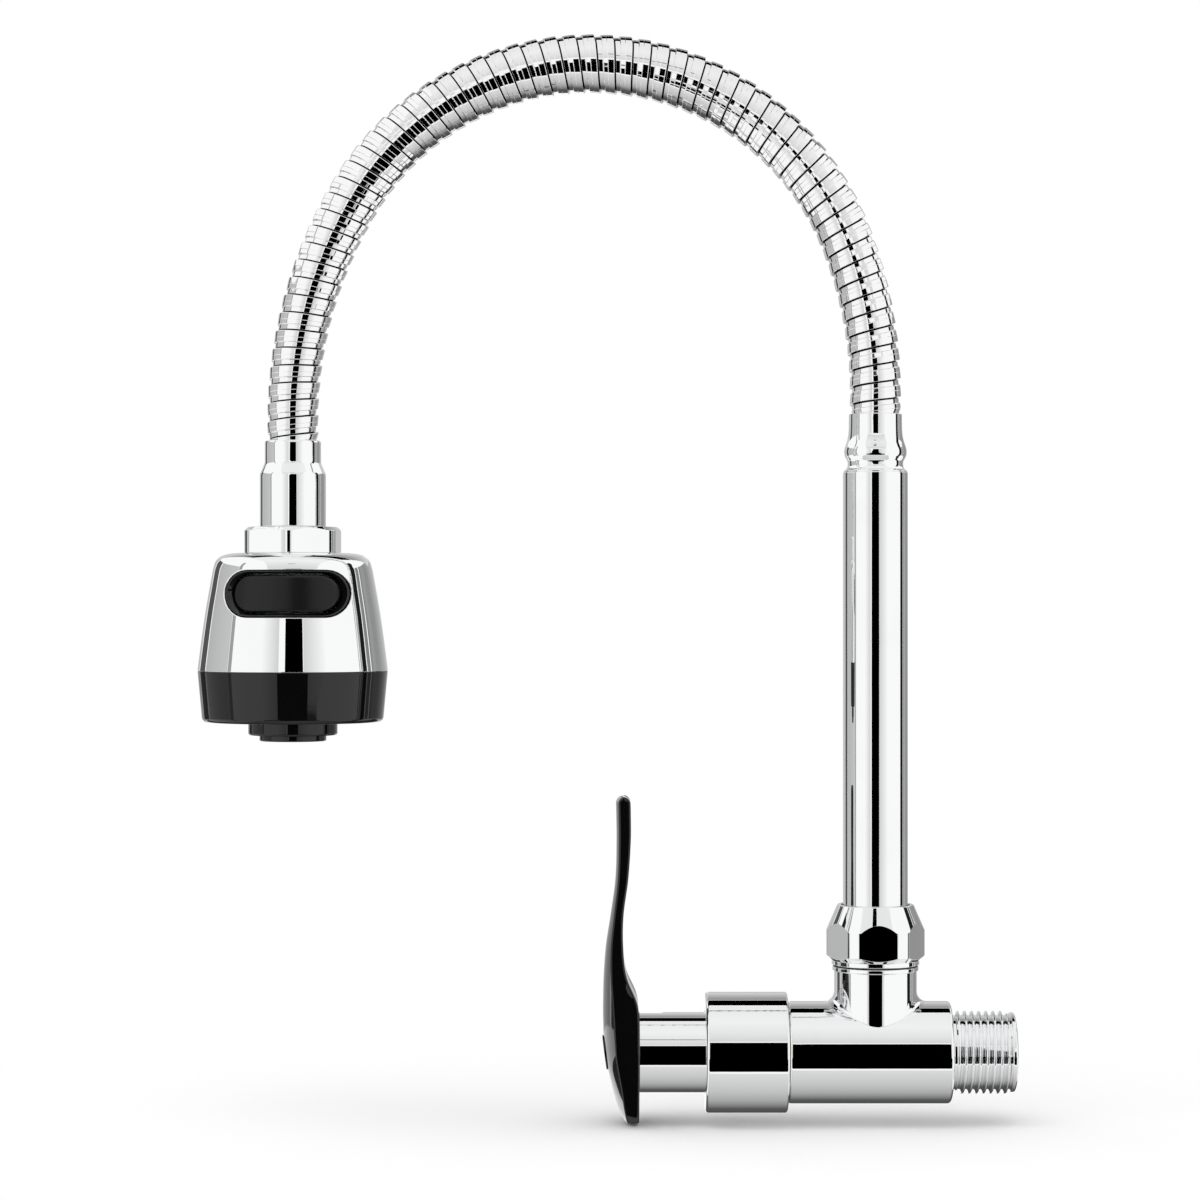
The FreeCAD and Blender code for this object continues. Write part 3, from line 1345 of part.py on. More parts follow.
def make_spray_plate():
    """Black plate on the ring's ledge, pierced for the nubs."""
    body = add_body("spray_plate")
    sketch = sketch_on(body, "PlateOutline", "XY_Plane")
    sketch.setExpression("AttachmentOffset.Base.z", bound("-" + PLATE_FOOT))
    draw_circle(sketch, "0", "0", "core_spigot_radius")
    draw_circle(sketch, "0", "0", "nozzle_stem_radius + thread_gap")
    nub_circles(sketch, "nub_radius + thread_gap")
    pad(body, "Plate", sketch, "plate_thick")
    seat_on_head(body)
    return body


def make_nozzle_pad():
    """Soft rubber pad with a nub for each hole of the plate."""
    body = add_body("nozzle_pad")
    sketch = sketch_on(body, "PadOutline", "XY_Plane")
    sketch.setExpression("AttachmentOffset.Base.z", bound("-" + PLATE_TOP))
    draw_circle(sketch, "0", "0", "core_spigot_radius")
    draw_circle(sketch, "0", "0", "nozzle_stem_radius + thread_gap")
    pad(body, "Pad", sketch, "pad_thick")
    nubs = sketch_on(body, "NubOutline", "XY_Plane")
    nubs.setExpression("AttachmentOffset.Base.z", bound("-" + PLATE_TOP))
    nub_circles(nubs, "nub_radius")
    pad(body, "Nubs", nubs, "plate_thick + nub_proud", reverse=True)
    seat_on_head(body)
    return body


def make_aerator_housing():
    """Stepped nozzle in the middle of the spray face."""
    screen_top = "(%s - nozzle_recess - screen_thick)" % NOZZLE_FOOT
    step = "(%s - nozzle_lip_height)" % NOZZLE_FOOT
    screen_foot = "(%s - nozzle_recess)" % NOZZLE_FOOT
    ledge = "(nozzle_bore_radius - nozzle_ledge)"
    return turned_on_head("aerator_housing", [
        (STEM_TOP, ledge),
        (STEM_TOP, "nozzle_stem_radius"),
        (PLATE_FOOT, "nozzle_stem_radius"),
        (PLATE_FOOT, "nozzle_radius"),
        (step + " - ring_edge / 2", "nozzle_radius"),
        (step, "nozzle_radius - ring_edge / 2"),
        (step, "nozzle_lip_radius"),
        (NOZZLE_FOOT, "nozzle_lip_radius"),
        (NOZZLE_FOOT, "nozzle_bore_radius"),
        (screen_foot, "nozzle_bore_radius"),
        (screen_foot, SCREEN_POCKET),
        (screen_top, SCREEN_POCKET),
        (screen_top, ledge)])


def make_aerator_screen():
    """Pierced disc in its pocket above the nozzle's mouth, against the ledge."""
    body = add_body("aerator_screen")
    sketch = sketch_on(body, "ScreenOutline", "XY_Plane")
    foot = "(%s - nozzle_recess)" % NOZZLE_FOOT
    sketch.setExpression("AttachmentOffset.Base.z", bound("-" + foot))
    draw_circle(sketch, "0", "0", SCREEN_POCKET + " - thread_gap")
    draw_circle(sketch, "0", "0", "nozzle_bore_radius * 0.1")
    for ring in (1, 2):
        for hole in range(6 * ring):
            bearing = 60 * hole / ring
            reach = "nozzle_bore_radius * %.2f" % (0.36 * ring)
            draw_circle(sketch, "%s * cos(%.1f)" % (reach, bearing), "%s * sin(%.1f)" % (reach, bearing),
                        "nozzle_bore_radius * 0.1")
    pad(body, "Screen", sketch, "screen_thick")
    seat_on_head(body)
    return body


def build_parts():
    """Make every sub-part and return them."""
    start = doc.addObject("Part::Vertex", "HoseStart")
    start.setExpression("X", bound("-spout_offset"))
    start.setExpression("Z", bound(HOSE_START))
    make_hose_end()
    doc.recompute()
    parts = [
        make_valve_body(),
        make_seat_gasket(),
        make_cartridge_housing(),
        make_housing_ring(),
        make_ceramic_disc("seat_disc", NOSE_DEPTH, False),
        make_turning_disc(),
        make_spindle(),
        make_spindle_rings(),
        make_bonnet_collar(),
        make_handle_hub(),
        make_lever(),
        make_handle_screw(),
        make_index_cap(),
        make_spout_nut(),
        make_slip_ring(),
        make_spout_tail(),
        make_spout_rings(),
        make_spout_tube(),
        make_hose_ferrule_lower(),
        make_hose_barb_lower(),
        make_hose_ferrule_upper(),
        make_head_connector(),
        make_head_nut(),
        make_head_washer(),
        make_head_core(),
        make_head_shell(),
        make_button_bezel(),
        make_rocker_button(),
        make_rocker_pin(),
        make_diverter_spool(),
        make_face_ring(),
        make_spray_plate(),
        make_nozzle_pad(),
        make_aerator_housing(),
        make_aerator_screen()]
    for section in range(1, int(size("hose_sections")) + 1):
        parts.append(make_hose_section(section))
        parts.append(make_water_tube(section))
    return parts


def check_parts(parts):
    """Stop if any object failed or any sub-part has no valid shape."""
    for item in doc.Objects:
        if "Invalid" in item.State or "Error" in item.State:
            raise RuntimeError("%s failed: %s" % (item.Name, item.State))
    for part in parts:
        if part.Shape.isNull() or not part.Shape.isValid():
            raise RuntimeError("%s has no valid shape" % part.Label)


def write_parts(parts):
    """Write each sub-part to its own file."""
    os.makedirs("parts", exist_ok=True)
    for part in parts:
        part.Shape.exportStep("parts/%s.step" % part.Label)


all_parts = build_parts()
doc.recompute()
check_parts(all_parts)
write_parts(all_parts)
print("hose length %.1f mm, rib pitch %.3f mm" % (hose_length(), rib_pitch()))
print("%d sub-parts written" % len(all_parts))
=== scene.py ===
# %% [markdown]
# # A kitchen faucet with a flexible spout
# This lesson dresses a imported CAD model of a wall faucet. The CAD says where every piece is and how it
# moves. Blender adds what the eye sees: the wound metal hose, soft rounded edges, chrome, black plastic
# and the studio that the chrome mirrors. Everything is in metres, in the same frame as the CAD.

# %% Load the frame
import json
import math
from itertools import product

import bpy
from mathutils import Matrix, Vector

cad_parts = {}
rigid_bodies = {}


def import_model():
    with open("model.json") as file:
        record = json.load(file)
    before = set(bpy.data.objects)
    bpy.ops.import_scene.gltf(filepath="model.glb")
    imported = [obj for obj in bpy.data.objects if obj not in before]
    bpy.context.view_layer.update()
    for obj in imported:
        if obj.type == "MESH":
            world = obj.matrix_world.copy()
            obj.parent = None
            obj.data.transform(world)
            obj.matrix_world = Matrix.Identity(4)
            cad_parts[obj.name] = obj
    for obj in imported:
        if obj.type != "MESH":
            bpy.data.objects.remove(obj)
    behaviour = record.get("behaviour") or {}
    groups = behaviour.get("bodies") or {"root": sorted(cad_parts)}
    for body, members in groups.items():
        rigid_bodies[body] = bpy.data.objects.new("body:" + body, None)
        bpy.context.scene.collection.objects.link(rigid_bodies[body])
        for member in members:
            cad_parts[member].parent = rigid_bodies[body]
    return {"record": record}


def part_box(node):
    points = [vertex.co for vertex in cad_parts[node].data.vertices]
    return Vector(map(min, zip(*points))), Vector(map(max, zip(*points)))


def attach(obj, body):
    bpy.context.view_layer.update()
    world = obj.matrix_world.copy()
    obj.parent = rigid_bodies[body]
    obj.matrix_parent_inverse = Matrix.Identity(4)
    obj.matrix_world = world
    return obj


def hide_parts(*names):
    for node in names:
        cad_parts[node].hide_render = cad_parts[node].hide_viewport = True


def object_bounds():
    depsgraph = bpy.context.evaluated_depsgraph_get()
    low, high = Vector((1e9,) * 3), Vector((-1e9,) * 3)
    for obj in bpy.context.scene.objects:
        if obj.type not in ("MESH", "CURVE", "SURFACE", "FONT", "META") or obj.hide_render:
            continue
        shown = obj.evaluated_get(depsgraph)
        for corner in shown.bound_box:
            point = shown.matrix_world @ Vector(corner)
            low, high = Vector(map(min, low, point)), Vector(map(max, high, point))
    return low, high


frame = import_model()
cad_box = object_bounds()
MM = 0.001
print("CAD box", [[round(value, 4) for value in corner] for corner in cad_box])

# %% [markdown]
# ## A small language for shaders
# A material is a graph of nodes. Written node by node it is long and hard to read, so one small class
# wraps a socket and lets us write sums: `0.02 + 0.05 * smudge` adds the two Math nodes by itself. Every
# other node comes from `add`, which sets the node's options first and then fills its sockets.

# %% The socket class
class Signal:
    """A node's output socket that can be used in sums."""

    def __init__(self, tree, socket=None):
        self.tree = tree
        self.socket = socket

    def add(self, kind, settings=(), sockets=(), output=0):
        """Add a node, set its options, then link or fill its sockets."""
        node = self.tree.nodes.new(kind)
        for name, value in dict(settings).items():
            setattr(node, name, value)
        for name, value in dict(sockets).items():
            if isinstance(value, Signal):
                self.tree.links.new(value.socket, node.inputs[name])
            else:
                node.inputs[name].default_value = value
        return Signal(self.tree, node.outputs[output] if node.outputs else None)

    def math(self, operation, first, second):
        """Add one Math node."""
        return self.add("ShaderNodeMath", {"operation": operation}, {0: first, 1: second})

    def __add__(self, other):
        return self.math("ADD", self, other)

    def __radd__(self, other):
        return self.math("ADD", other, self)

    def __sub__(self, other):
        return self.math("SUBTRACT", self, other)

    def __rsub__(self, other):
        return self.math("SUBTRACT", other, self)

    def __mul__(self, other):
        return self.math("MULTIPLY", self, other)

    def __rmul__(self, other):
        return self.math("MULTIPLY", other, self)

    def between(self, low, high):
        """Return 0 below low, 1 above high and a smooth step in between."""
        return self.add("ShaderNodeMapRange", {"interpolation_type": "SMOOTHSTEP"},
                        {"Value": self, "From Min": low, "From Max": high})


# %% [markdown]
# ## Finishes
# Five finishes show: mirror chrome, the thinner chrome on the hose strip, gloss black plastic, satin black
# plastic and black rubber. Brass, steel, ceramic, white plastic and soft rubber sit inside. A perfect
# mirror or a flat black looks like a drawing, so each finish has a little of what handling and moulding
# leave: a faint smudge in the roughness, fine polishing lines or a moulded grain in the bump.

# %% Helpers for finishes
def colour(red, green, blue):
    """Return an opaque colour."""
    return (red, green, blue, 1.0)


BLACK = colour(0.0, 0.0, 0.0)


def start_material(name, **constants):
    """Make a material and set what is the same all over it on the shader's own sockets."""
    material = bpy.data.materials.new(name)
    material.use_nodes = True
    tree = material.node_tree
    shader = tree.nodes["Principled BSDF"]
    for socket, value in constants.items():
        shader.inputs[socket.replace("_", " ")].default_value = value
    return material, Signal(tree), shader


def feed(graph, shader, socket, signal):
    """Link a signal to one of the shader's sockets."""
    graph.tree.links.new(signal.socket, shader.inputs[socket])


def place_on_piece(graph, stretch=(1.0, 1.0, 1.0)):
    """Return the place on the piece in metres, stretched along its axes."""
    place = graph.add("ShaderNodeTexCoord", output=3)
    return graph.add("ShaderNodeMapping", {}, {"Vector": place, "Scale": stretch})


def noise(graph, place, scale, detail=3.0):
    """Return soft noise with so many cells to a metre."""
    return graph.add("ShaderNodeTexNoise", {}, {"Vector": place, "Scale": scale, "Detail": detail})


def bump(graph, shader, height, distance):
    """Let a height between 0 and 1 tilt the surface's normal."""
    normal = graph.add("ShaderNodeBump", {}, {"Height": height, "Distance": distance, "Strength": 1.0})
    feed(graph, shader, "Normal", normal)


def mix_colours(graph, share, first, second):
    """Return the first colour where share is 0, the second where it is 1 and a blend in between."""
    return graph.add("ShaderNodeMix", {"data_type": "RGBA"}, {0: share, 6: first, 7: second}, 2)


# %% Chrome
MARK_CELLS = 55.0
MARK_RANGE = (0.52, 0.72)
MARKED_SHADE = 0.985
POLISH_CELLS = 900.0
SWELL_CELLS = 130.0


def make_chrome(name, tint, mirror, smudge_depth, wave, slit=False):
    """Polished chrome: nearly a mirror, with faint finger marks and the slight swell of polished brass, and
    if asked a painted shade that turns the hose's slits black.
    """
    material, graph, shader = start_material(name, Metallic=1.0)
    place = place_on_piece(graph)
    smudge = noise(graph, place, MARK_CELLS).between(*MARK_RANGE)
    fine = noise(graph, place, POLISH_CELLS, 2.0)
    feed(graph, shader, "Roughness", mirror + smudge_depth * smudge * fine)
    shade = mix_colours(graph, smudge, colour(*tint), colour(*[MARKED_SHADE * part for part in tint]))
    # Painted shade: where the points' gap value is 1, deep in the hose's slits, the colour goes to black
    if slit:
        depth = graph.add("ShaderNodeAttribute", {"attribute_name": "gap"}, output=2)
        shade = mix_colours(graph, depth, shade, BLACK)
    feed(graph, shader, "Base Color", shade)
    bump(graph, shader, noise(graph, place, SWELL_CELLS, 1.0), wave)
    return material


chrome = make_chrome("Mirror chrome", (0.94, 0.945, 0.95), mirror=0.02, smudge_depth=0.05, wave=0.00001)
# The strip chrome carries painted shade: its colour turns black in the slits between the turns
hose_chrome = make_chrome("Strip chrome", (0.93, 0.93, 0.935), mirror=0.035, smudge_depth=0.06, wave=0.000006,
                          slit=True)
print("chrome finishes", chrome.name, "and", hose_chrome.name)

# %% Black plastics
CLOUD_CELLS = 45.0
CLOUD_RANGE = (0.4, 0.7)
COAT_WEAR = 0.25
DARK_SHARES = (1.0, 1.0, 1.02)
LIGHT_SHARES = (1.35, 1.35, 1.38)


def make_black(name, shade, rough, rough_swing, grain_scale, grain_height, coat, mirror=0.5):
    """Moulded black plastic: the gloss one is smooth and lacquered, the satin one has a fine grain."""
    material, graph, shader = start_material(name, IOR=1.49, Coat_Roughness=0.04, Specular_IOR_Level=mirror)
    place = place_on_piece(graph)
    cloud = noise(graph, place, CLOUD_CELLS)
    dark, light = [colour(*[shade * part for part in shares]) for shares in (DARK_SHARES, LIGHT_SHARES)]
    feed(graph, shader, "Base Color", mix_colours(graph, cloud, dark, light))
    feed(graph, shader, "Roughness", rough + rough_swing * cloud.between(*CLOUD_RANGE))
    feed(graph, shader, "Coat Weight", coat * (1.0 - COAT_WEAR * cloud))
    grain = graph.add("ShaderNodeTexVoronoi", {"feature": "SMOOTH_F1"},
                      {"Vector": place, "Scale": grain_scale, "Smoothness": 0.6})
    bump(graph, shader, grain, grain_height)
    return material


black_gloss = make_black("Gloss black", shade=0.0025, rough=0.03, rough_swing=0.03, grain_scale=700.0,
                         grain_height=0.000001, coat=0.04)
black_satin = make_black("Satin black", shade=0.006, rough=0.26, rough_swing=0.08, grain_scale=2600.0,
                         grain_height=0.000012, coat=0.0, mirror=0.28)
print("black finishes", black_gloss.name, "and", black_satin.name)

# %% Rubber, metal, ceramic and white plastic
SOFT_CLOUD_CELLS = 60.0
CLOUD_SHADE = 0.82


def make_plain(name, tint, metal, rough, rough_swing, grain_scale, grain_height, stretch):
    """An inner finish: one colour with soft clouds, an even roughness and a grain that can run in lines."""
    material, graph, shader = start_material(name, Metallic=metal)
    place = place_on_piece(graph, stretch)
    cloud = noise(graph, place, SOFT_CLOUD_CELLS)
    darker = colour(*[CLOUD_SHADE * part for part in tint])
    feed(graph, shader, "Base Color", mix_colours(graph, cloud, colour(*tint), darker))
    feed(graph, shader, "Roughness", rough + rough_swing * cloud)
    bump(graph, shader, noise(graph, place, grain_scale, 2.0), grain_height)
    return material


EVEN = (1.0, 1.0, 1.0)
TURNED_LINES = (1.0, 1.0, 6.0)
ROLLED_LINES = (8.0, 1.0, 1.0)
# For each colour slot: name, tint, metal, roughness, its swing, grain cells to a metre, grain height, stretch
INNER_FINISHES = {
    "brass": ("Turned brass", (0.74, 0.54, 0.25), 1.0, 0.22, 0.12, 1500.0, 0.00001, TURNED_LINES),
    "steel": ("Stainless steel", (0.62, 0.61, 0.59), 1.0, 0.24, 0.14, 1300.0, 0.000008, ROLLED_LINES),
    "ceramic": ("White ceramic", (0.86, 0.85, 0.82), 0.0, 0.12, 0.05, 2200.0, 0.000002, EVEN),
    "core_plastic": ("White moulded plastic", (0.72, 0.72, 0.70), 0.0, 0.38, 0.10, 1800.0, 0.00001, EVEN),
    "rubber": ("Black rubber", (0.02, 0.02, 0.021), 0.0, 0.55, 0.12, 2400.0, 0.00002, EVEN),
    "soft_rubber": ("Soft nozzle rubber", (0.035, 0.035, 0.037), 0.0, 0.48, 0.12, 2600.0, 0.000015, EVEN)}
FINISHES = {"chrome": chrome, "hose_chrome": hose_chrome,
            "black_gloss": black_gloss, "black_satin": black_satin}
for slot, settings in INNER_FINISHES.items():
    FINISHES[slot] = make_plain(*settings)
print("finishes", len(FINISHES))

# %% [markdown]
# ## The CAD pieces that stay
# Inner pieces such as the cartridge, the discs and the O-rings have the right shape already. They keep
# their CAD mesh and only get a finish. A piece that is rebuilt further on hides its CAD node then.

# %% Give every CAD piece its finish
cad_pieces = [piece for piece in bpy.data.objects if piece.type == "MESH"]
for piece in cad_pieces:
    for holder in piece.material_slots:
        holder.material = FINISHES[holder.material.name.split(".")[0]]
print("CAD pieces with a finish", len(cad_pieces))

# %% [markdown]
# ## Rounded profiles
# No turned part has a knife edge: the thin bright line along an edge is a small radius that catches the
# light. A profile is a list of corners, and each corner gets an arc that touches both its runs. The arc
# also gives the exact direction of the surface, so flat runs stay flat in the mirror.

# %% Round the corners of a profile
ARC_STEPS = 5
LARGEST_CUT = 0.48   # the share of a run that one rounding may take
NO_TURN = 1e-6


def run_of(start, end):
    """Return the direction and the length of one run of a profile."""
    step = (end[0] - start[0], end[1] - start[1])
    length = math.hypot(*step)
    return (step[0] / length, step[1] / length), length


def rounded(corners, default):
    """Turn corners (along, radius, rounding) into points (along, radius, and the outward direction)."""
    runs = [run_of(corners[i], corners[i + 1]) for i in range(len(corners) - 1)]
    first = runs[0][0]
    points = [(corners[0][0], corners[0][1], -first[1], first[0])]
    for index in range(1, len(corners) - 1):
        (before, length_before), (after, length_after) = runs[index - 1], runs[index]
        turn = math.atan2(before[0] * after[1] - before[1] * after[0],
                          before[0] * after[0] + before[1] * after[1])
        asked = corners[index][2] if len(corners[index]) > 2 else default
        half_tangent = math.tan(abs(turn) / 2)
        cut = min(asked * half_tangent, LARGEST_CUT * length_before, LARGEST_CUT * length_after)
        radius = cut / half_tangent if half_tangent > NO_TURN else 0.0
        side = math.copysign(1.0, turn)
        start = (corners[index][0] - cut * before[0], corners[index][1] - cut * before[1])
        for step in range(ARC_STEPS + 1):
            angle = turn * step / ARC_STEPS
            ahead, across = math.sin(abs(angle)) * radius, (1 - math.cos(angle)) * radius
            place = (start[0] + ahead * before[0] - side * across * before[1],
                     start[1] + ahead * before[1] + side * across * before[0])
            heading = (before[0] * math.cos(angle) - before[1] * math.sin(angle),
                       before[0] * math.sin(angle) + before[1] * math.cos(angle))
            points.append((place[0], place[1], -heading[1], heading[0]))
    last = runs[-1][0]
    points.append((corners[-1][0], corners[-1][1], -last[1], last[0]))
    return points


# %% Make a piece from points and faces
def make_piece(name, points, faces, normals, finish, body=None):
    """Make a smooth mesh piece, which rides on a body if one is named."""
    mesh = bpy.data.meshes.new(name)
    mesh.from_pydata(points, [], faces)
    mesh.shade_smooth()
    mesh.normals_split_custom_set_from_vertices(normals)
    mesh.materials.append(finish)
    piece = bpy.data.objects.new(name, mesh)
    bpy.context.scene.collection.objects.link(piece)
    if body:
        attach(piece, body)
    return piece


# %% A shape that grows grid by grid
SAME_PLACE = 0.002
SAME_SHARE = 0.25


class Shape:
    """Points with the direction the surface faces, and faces; a point that comes twice is kept once."""

    def __init__(self):
        self.points = []
        self.normals = []
        self.faces = []
        self.index_of = {}

    def vertex(self, place, normal):
        """Return the number of the point at this place; one that lies within half a micron is shared."""
        cell = [value / SAME_PLACE for value in place]
        choices = [{math.floor(value - SAME_SHARE), math.floor(value + SAME_SHARE)} for value in cell]
        for key in product(*choices):
            if key in self.index_of:
                return self.index_of[key]
        self.index_of[tuple(math.floor(value) for value in cell)] = len(self.points)
        self.points.append(Vector(place) * MM)
        self.normals.append(Vector(normal).normalized())
        return len(self.points) - 1

    def face(self, corners):
        """Add a face that looks the way its points do; a face with fewer than three corners is left out."""
        kept = [corner for place, corner in enumerate(corners) if corner != corners[place - 1]]
        if len(set(kept)) < 3:
            return
        arms = [self.points[corner] - self.points[kept[0]] for corner in kept[1:]]
        facing = sum((a.cross(b) for a, b in zip(arms, arms[1:])), Vector())
        outward = sum((self.normals[corner] for corner in kept), Vector())
        self.faces.append(kept if facing.dot(outward) > 0 else kept[::-1])

    def grid(self, rows, closed_rows=False, closed_columns=False):
        """Join rows of (place, normal) pairs with four-sided faces."""
        numbers = [[self.vertex(*pair) for pair in row] for row in rows]
        if closed_rows:
            numbers.append(numbers[0])
        if closed_columns:
            numbers = [row + row[:1] for row in numbers]
        for row, following in zip(numbers, numbers[1:]):
            for column in range(len(row) - 1):
                self.face([row[column], row[column + 1], following[column + 1], following[column]])

    def piece(self, name, slot, body, replaced):
        """Turn the shape into a piece of the faucet; its finish has the name of its colour slot."""
        made = make_piece(name, self.points, self.faces, self.normals, FINISHES[slot], body)
        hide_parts(*replaced)


# %% Turned shapes
class Axis:
    """A line to turn about: a place on it, its direction, and the direction where angles start."""

    def __init__(self, origin, along, first):
        self.origin = Vector(origin)
        self.along = Vector(along)
        self.first = Vector(first)
        self.second = self.along.cross(self.first)

    def spoke(self, angle):
        """Return the direction straight out from the axis at an angle."""
        return self.first * math.cos(angle) + self.second * math.sin(angle)

    def pair(self, along, radius, angle, lean, out):
        """Return a place and the direction the surface faces there."""
        spoke = self.spoke(angle)
        return self.origin + self.along * along + spoke * radius, self.along * lean + spoke * out


def middle_of(name):
    """Return the middle of a CAD node's box, in millimetres."""
    low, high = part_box(name)
    return [(a + b) / 2 / MM for a, b in zip(low, high)]


SPOUT_ACROSS = middle_of("spout_tube")[0]
HEAD_ACROSS = middle_of("face_ring")[0]
HEAD_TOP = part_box("hose_ferrule_upper")[1][2] / MM
barrel_axis = Axis((0, 0, 0), (-1, 0, 0), (0, -1, 0))
spout_axis = Axis((SPOUT_ACROSS, 0, 0), (0, 0, 1), (0, -1, 0))
head_axis = Axis((HEAD_ACROSS, 0, HEAD_TOP), (0, 0, -1), (0, -1, 0))
TURN_STEPS = 96


def closed_profile(corners, default):
    """Round all corners of a closed profile; it starts and ends halfway along its first run."""
    middle = tuple((corners[0][i] + corners[1][i]) / 2 for i in range(2))
    return rounded([middle] + corners[1:] + corners[:1] + [middle], default)[:-1]


def add_turned(shape, axis, profile, steps=TURN_STEPS, closed=True):
    """Turn a profile about an axis and add its surface to a shape."""
    rows = []
    for step in range(steps):
        angle = 2 * math.pi * step / steps
        rows.append([axis.pair(along, radius, angle, lean, out) for along, radius, lean, out in profile])
    shape.grid(rows, closed_rows=True, closed_columns=closed)


def turned(name, axis, profile, slot, body, replaced):
    """Make a piece from a closed profile that is turned about an axis."""
    shape = Shape()
    add_turned(shape, axis, profile)
    shape.piece(name, slot, body, replaced)


print("spout axis", round(SPOUT_ACROSS, 2), "head axis", round(HEAD_ACROSS, 2))
print("head top", round(HEAD_TOP, 2))


# %% Smooth lines through points
def ease(start, end, leave, arrive, share):
    """Return a place on the smooth curve between two places that has the given speeds at its ends."""
    return (start * (2 * share ** 3 - 3 * share ** 2 + 1) + leave * (share ** 3 - 2 * share ** 2 + share)
            + end * (3 * share ** 2 - 2 * share ** 3) + arrive * (share ** 3 - share ** 2))


def smooth_line(points, steps=6):
    """Return (along, radius, lean, out) on a smooth line through (along, radius) points."""
    padded = [points[0]] + list(points) + [points[-1]]
    line = []
    for index in range(1, len(padded) - 2):
        before, start, end, after = (Vector(padded[index + offset]) for offset in (-1, 0, 1, 2))
        leave, arrive = (end - before) / 2, (after - start) / 2
        for step in range(steps + (index == len(padded) - 3)):
            share = step / steps
            place = ease(start, end, leave, arrive, share)
            heading = ((start - end) * (6 * share ** 2 - 6 * share) + leave * (3 * share ** 2 - 4 * share + 1)
                       + arrive * (3 * share ** 2 - 2 * share)).normalized()
            line.append((place[0], place[1], -heading[1], heading[0]))
    return line


# %% [markdown]
# ## The hose
# The real hose is wound from one shaped metal strip. Each turn has a wide outer band, whose rolled lip
# grips the narrow inner band of the next turn, so that the turns can slide a little and the hose holds
# any curve. It could be a tube with a bump map, but then its outline would be smooth. Here the strip is
# really wound: one profile is swept along a helix round the hose's line, and its edge meets the edge of
# the next turn.

# %% The line of the hose
# Where the hose's line starts, across and up, and its runs: the length of each and the angle it turns by
HOSE_FOOT = (-19.06, 162.7)
HOSE_RUNS = [(5.1, 0.0), (40.7516, 21.5), (156.0148, 127.7), (59.6685, 30.8), (5.1, 0.0)]


def hose_line(reach):
    """Return the place and the lean of the hose's line at a length from its foot, in millimetres."""
    across, up = HOSE_FOOT
    lean = 0.0
    for length, sweep in HOSE_RUNS:
        part = max(0.0, min(reach, length))
        turn = math.radians(sweep) * part / length
        if sweep:
            bend = length / math.radians(sweep)
            across -= bend * (math.cos(lean) - math.cos(lean + turn))
            up += bend * (math.sin(lean + turn) - math.sin(lean))
        else:
            across -= part * math.sin(lean)
            up += part * math.cos(lean)
        lean += turn
        reach -= part
    return across, up, lean


HOSE_LENGTH = sum(length for length, sweep in HOSE_RUNS)
print("hose length", round(HOSE_LENGTH, 2), "ends at", [round(value, 2) for value in hose_line(HOSE_LENGTH)])

# %% The strip's profile
HOSE_TURNS = 60
HOSE_PITCH = HOSE_LENGTH / HOSE_TURNS
# Corners of one turn: share of the pitch, depth below the crest and rounding, in millimetres.
# The wide band falls a little from its rolled lip, and the narrow band lies nearly flat.
STRIP_CORNERS = [
    (0.000, 1.00, 0.0), (0.020, 0.05, 0.08), (0.050, 0.0, 0.10), (0.370, 0.10, 0.2), (0.385, 0.15, 0.04),
    (0.400, 0.11, 0.04), (0.640, 0.22, 0.12), (0.660, 0.56, 0.08), (0.690, 0.60, 0.06), (0.925, 0.66, 0.05),
    (0.935, 1.00, 0.04), (1.000, 1.00, 0.0)]
# Below this depth the strip lies in the slit under the next turn's lip, where its shade is painted black
PAINTED_SHADE_DEPTH = 0.8
# Crest radius at the hose's ends, and how much it grows towards the middle
HOSE_SLIM = 6.55
HOSE_SWELL = 0.95


def strip_profile():
    """Return the strip's points as share of the pitch, depth and outward direction."""
    corners = [(share * HOSE_PITCH, -depth, size) for share, depth, size in STRIP_CORNERS]
    return [(along / HOSE_PITCH, -depth, lean, out) for along, depth, lean, out in rounded(corners, 0.1)]


def crest_radius(reach):
    """Return the hose's outer radius: slim at its ends and fuller over its length."""
    return HOSE_SLIM + HOSE_SWELL * math.sin(math.pi * reach / HOSE_LENGTH) ** 2


print("strip points to a turn", len(strip_profile()), "pitch", round(HOSE_PITCH, 3))

# %% Wind the strip
HOSE_STEPS = 64
# Over this length at its ends the strip is pressed down to one depth
END_TAPER = 1.2
END_DEPTH = 0.7


def hose_point(reach, turn_angle, depth, lean_part, out_part):
    """Return one point of the strip and the direction its surface faces."""
    inside = max(0.0, min(HOSE_LENGTH, reach))
    near_end = min(inside, HOSE_LENGTH - inside)
    depth = END_DEPTH + (depth - END_DEPTH) * min(1.0, near_end / END_TAPER)
    radius = crest_radius(inside) - depth
    across, up, lean = hose_line(inside)
    out = Vector((math.cos(lean), 0.0, math.sin(lean)))
    ahead = Vector((-math.sin(lean), 0.0, math.cos(lean)))
    side = Vector((0.0, 1.0, 0.0))
    spoke = out * math.cos(turn_angle) + side * math.sin(turn_angle)
    round_about = side * math.cos(turn_angle) - out * math.sin(turn_angle)
    slope = HOSE_PITCH / (2 * math.pi * radius)
    normal = spoke * out_part + ahead * lean_part - round_about * (lean_part * slope)
    place = Vector((across, 0.0, up)) + spoke * radius
    return place * MM, normal.normalized()


STRIP = strip_profile()[:-1]
STRIP_WIDTH = len(STRIP)
HOSE_ROWS = (HOSE_TURNS + 2) * HOSE_STEPS + 1


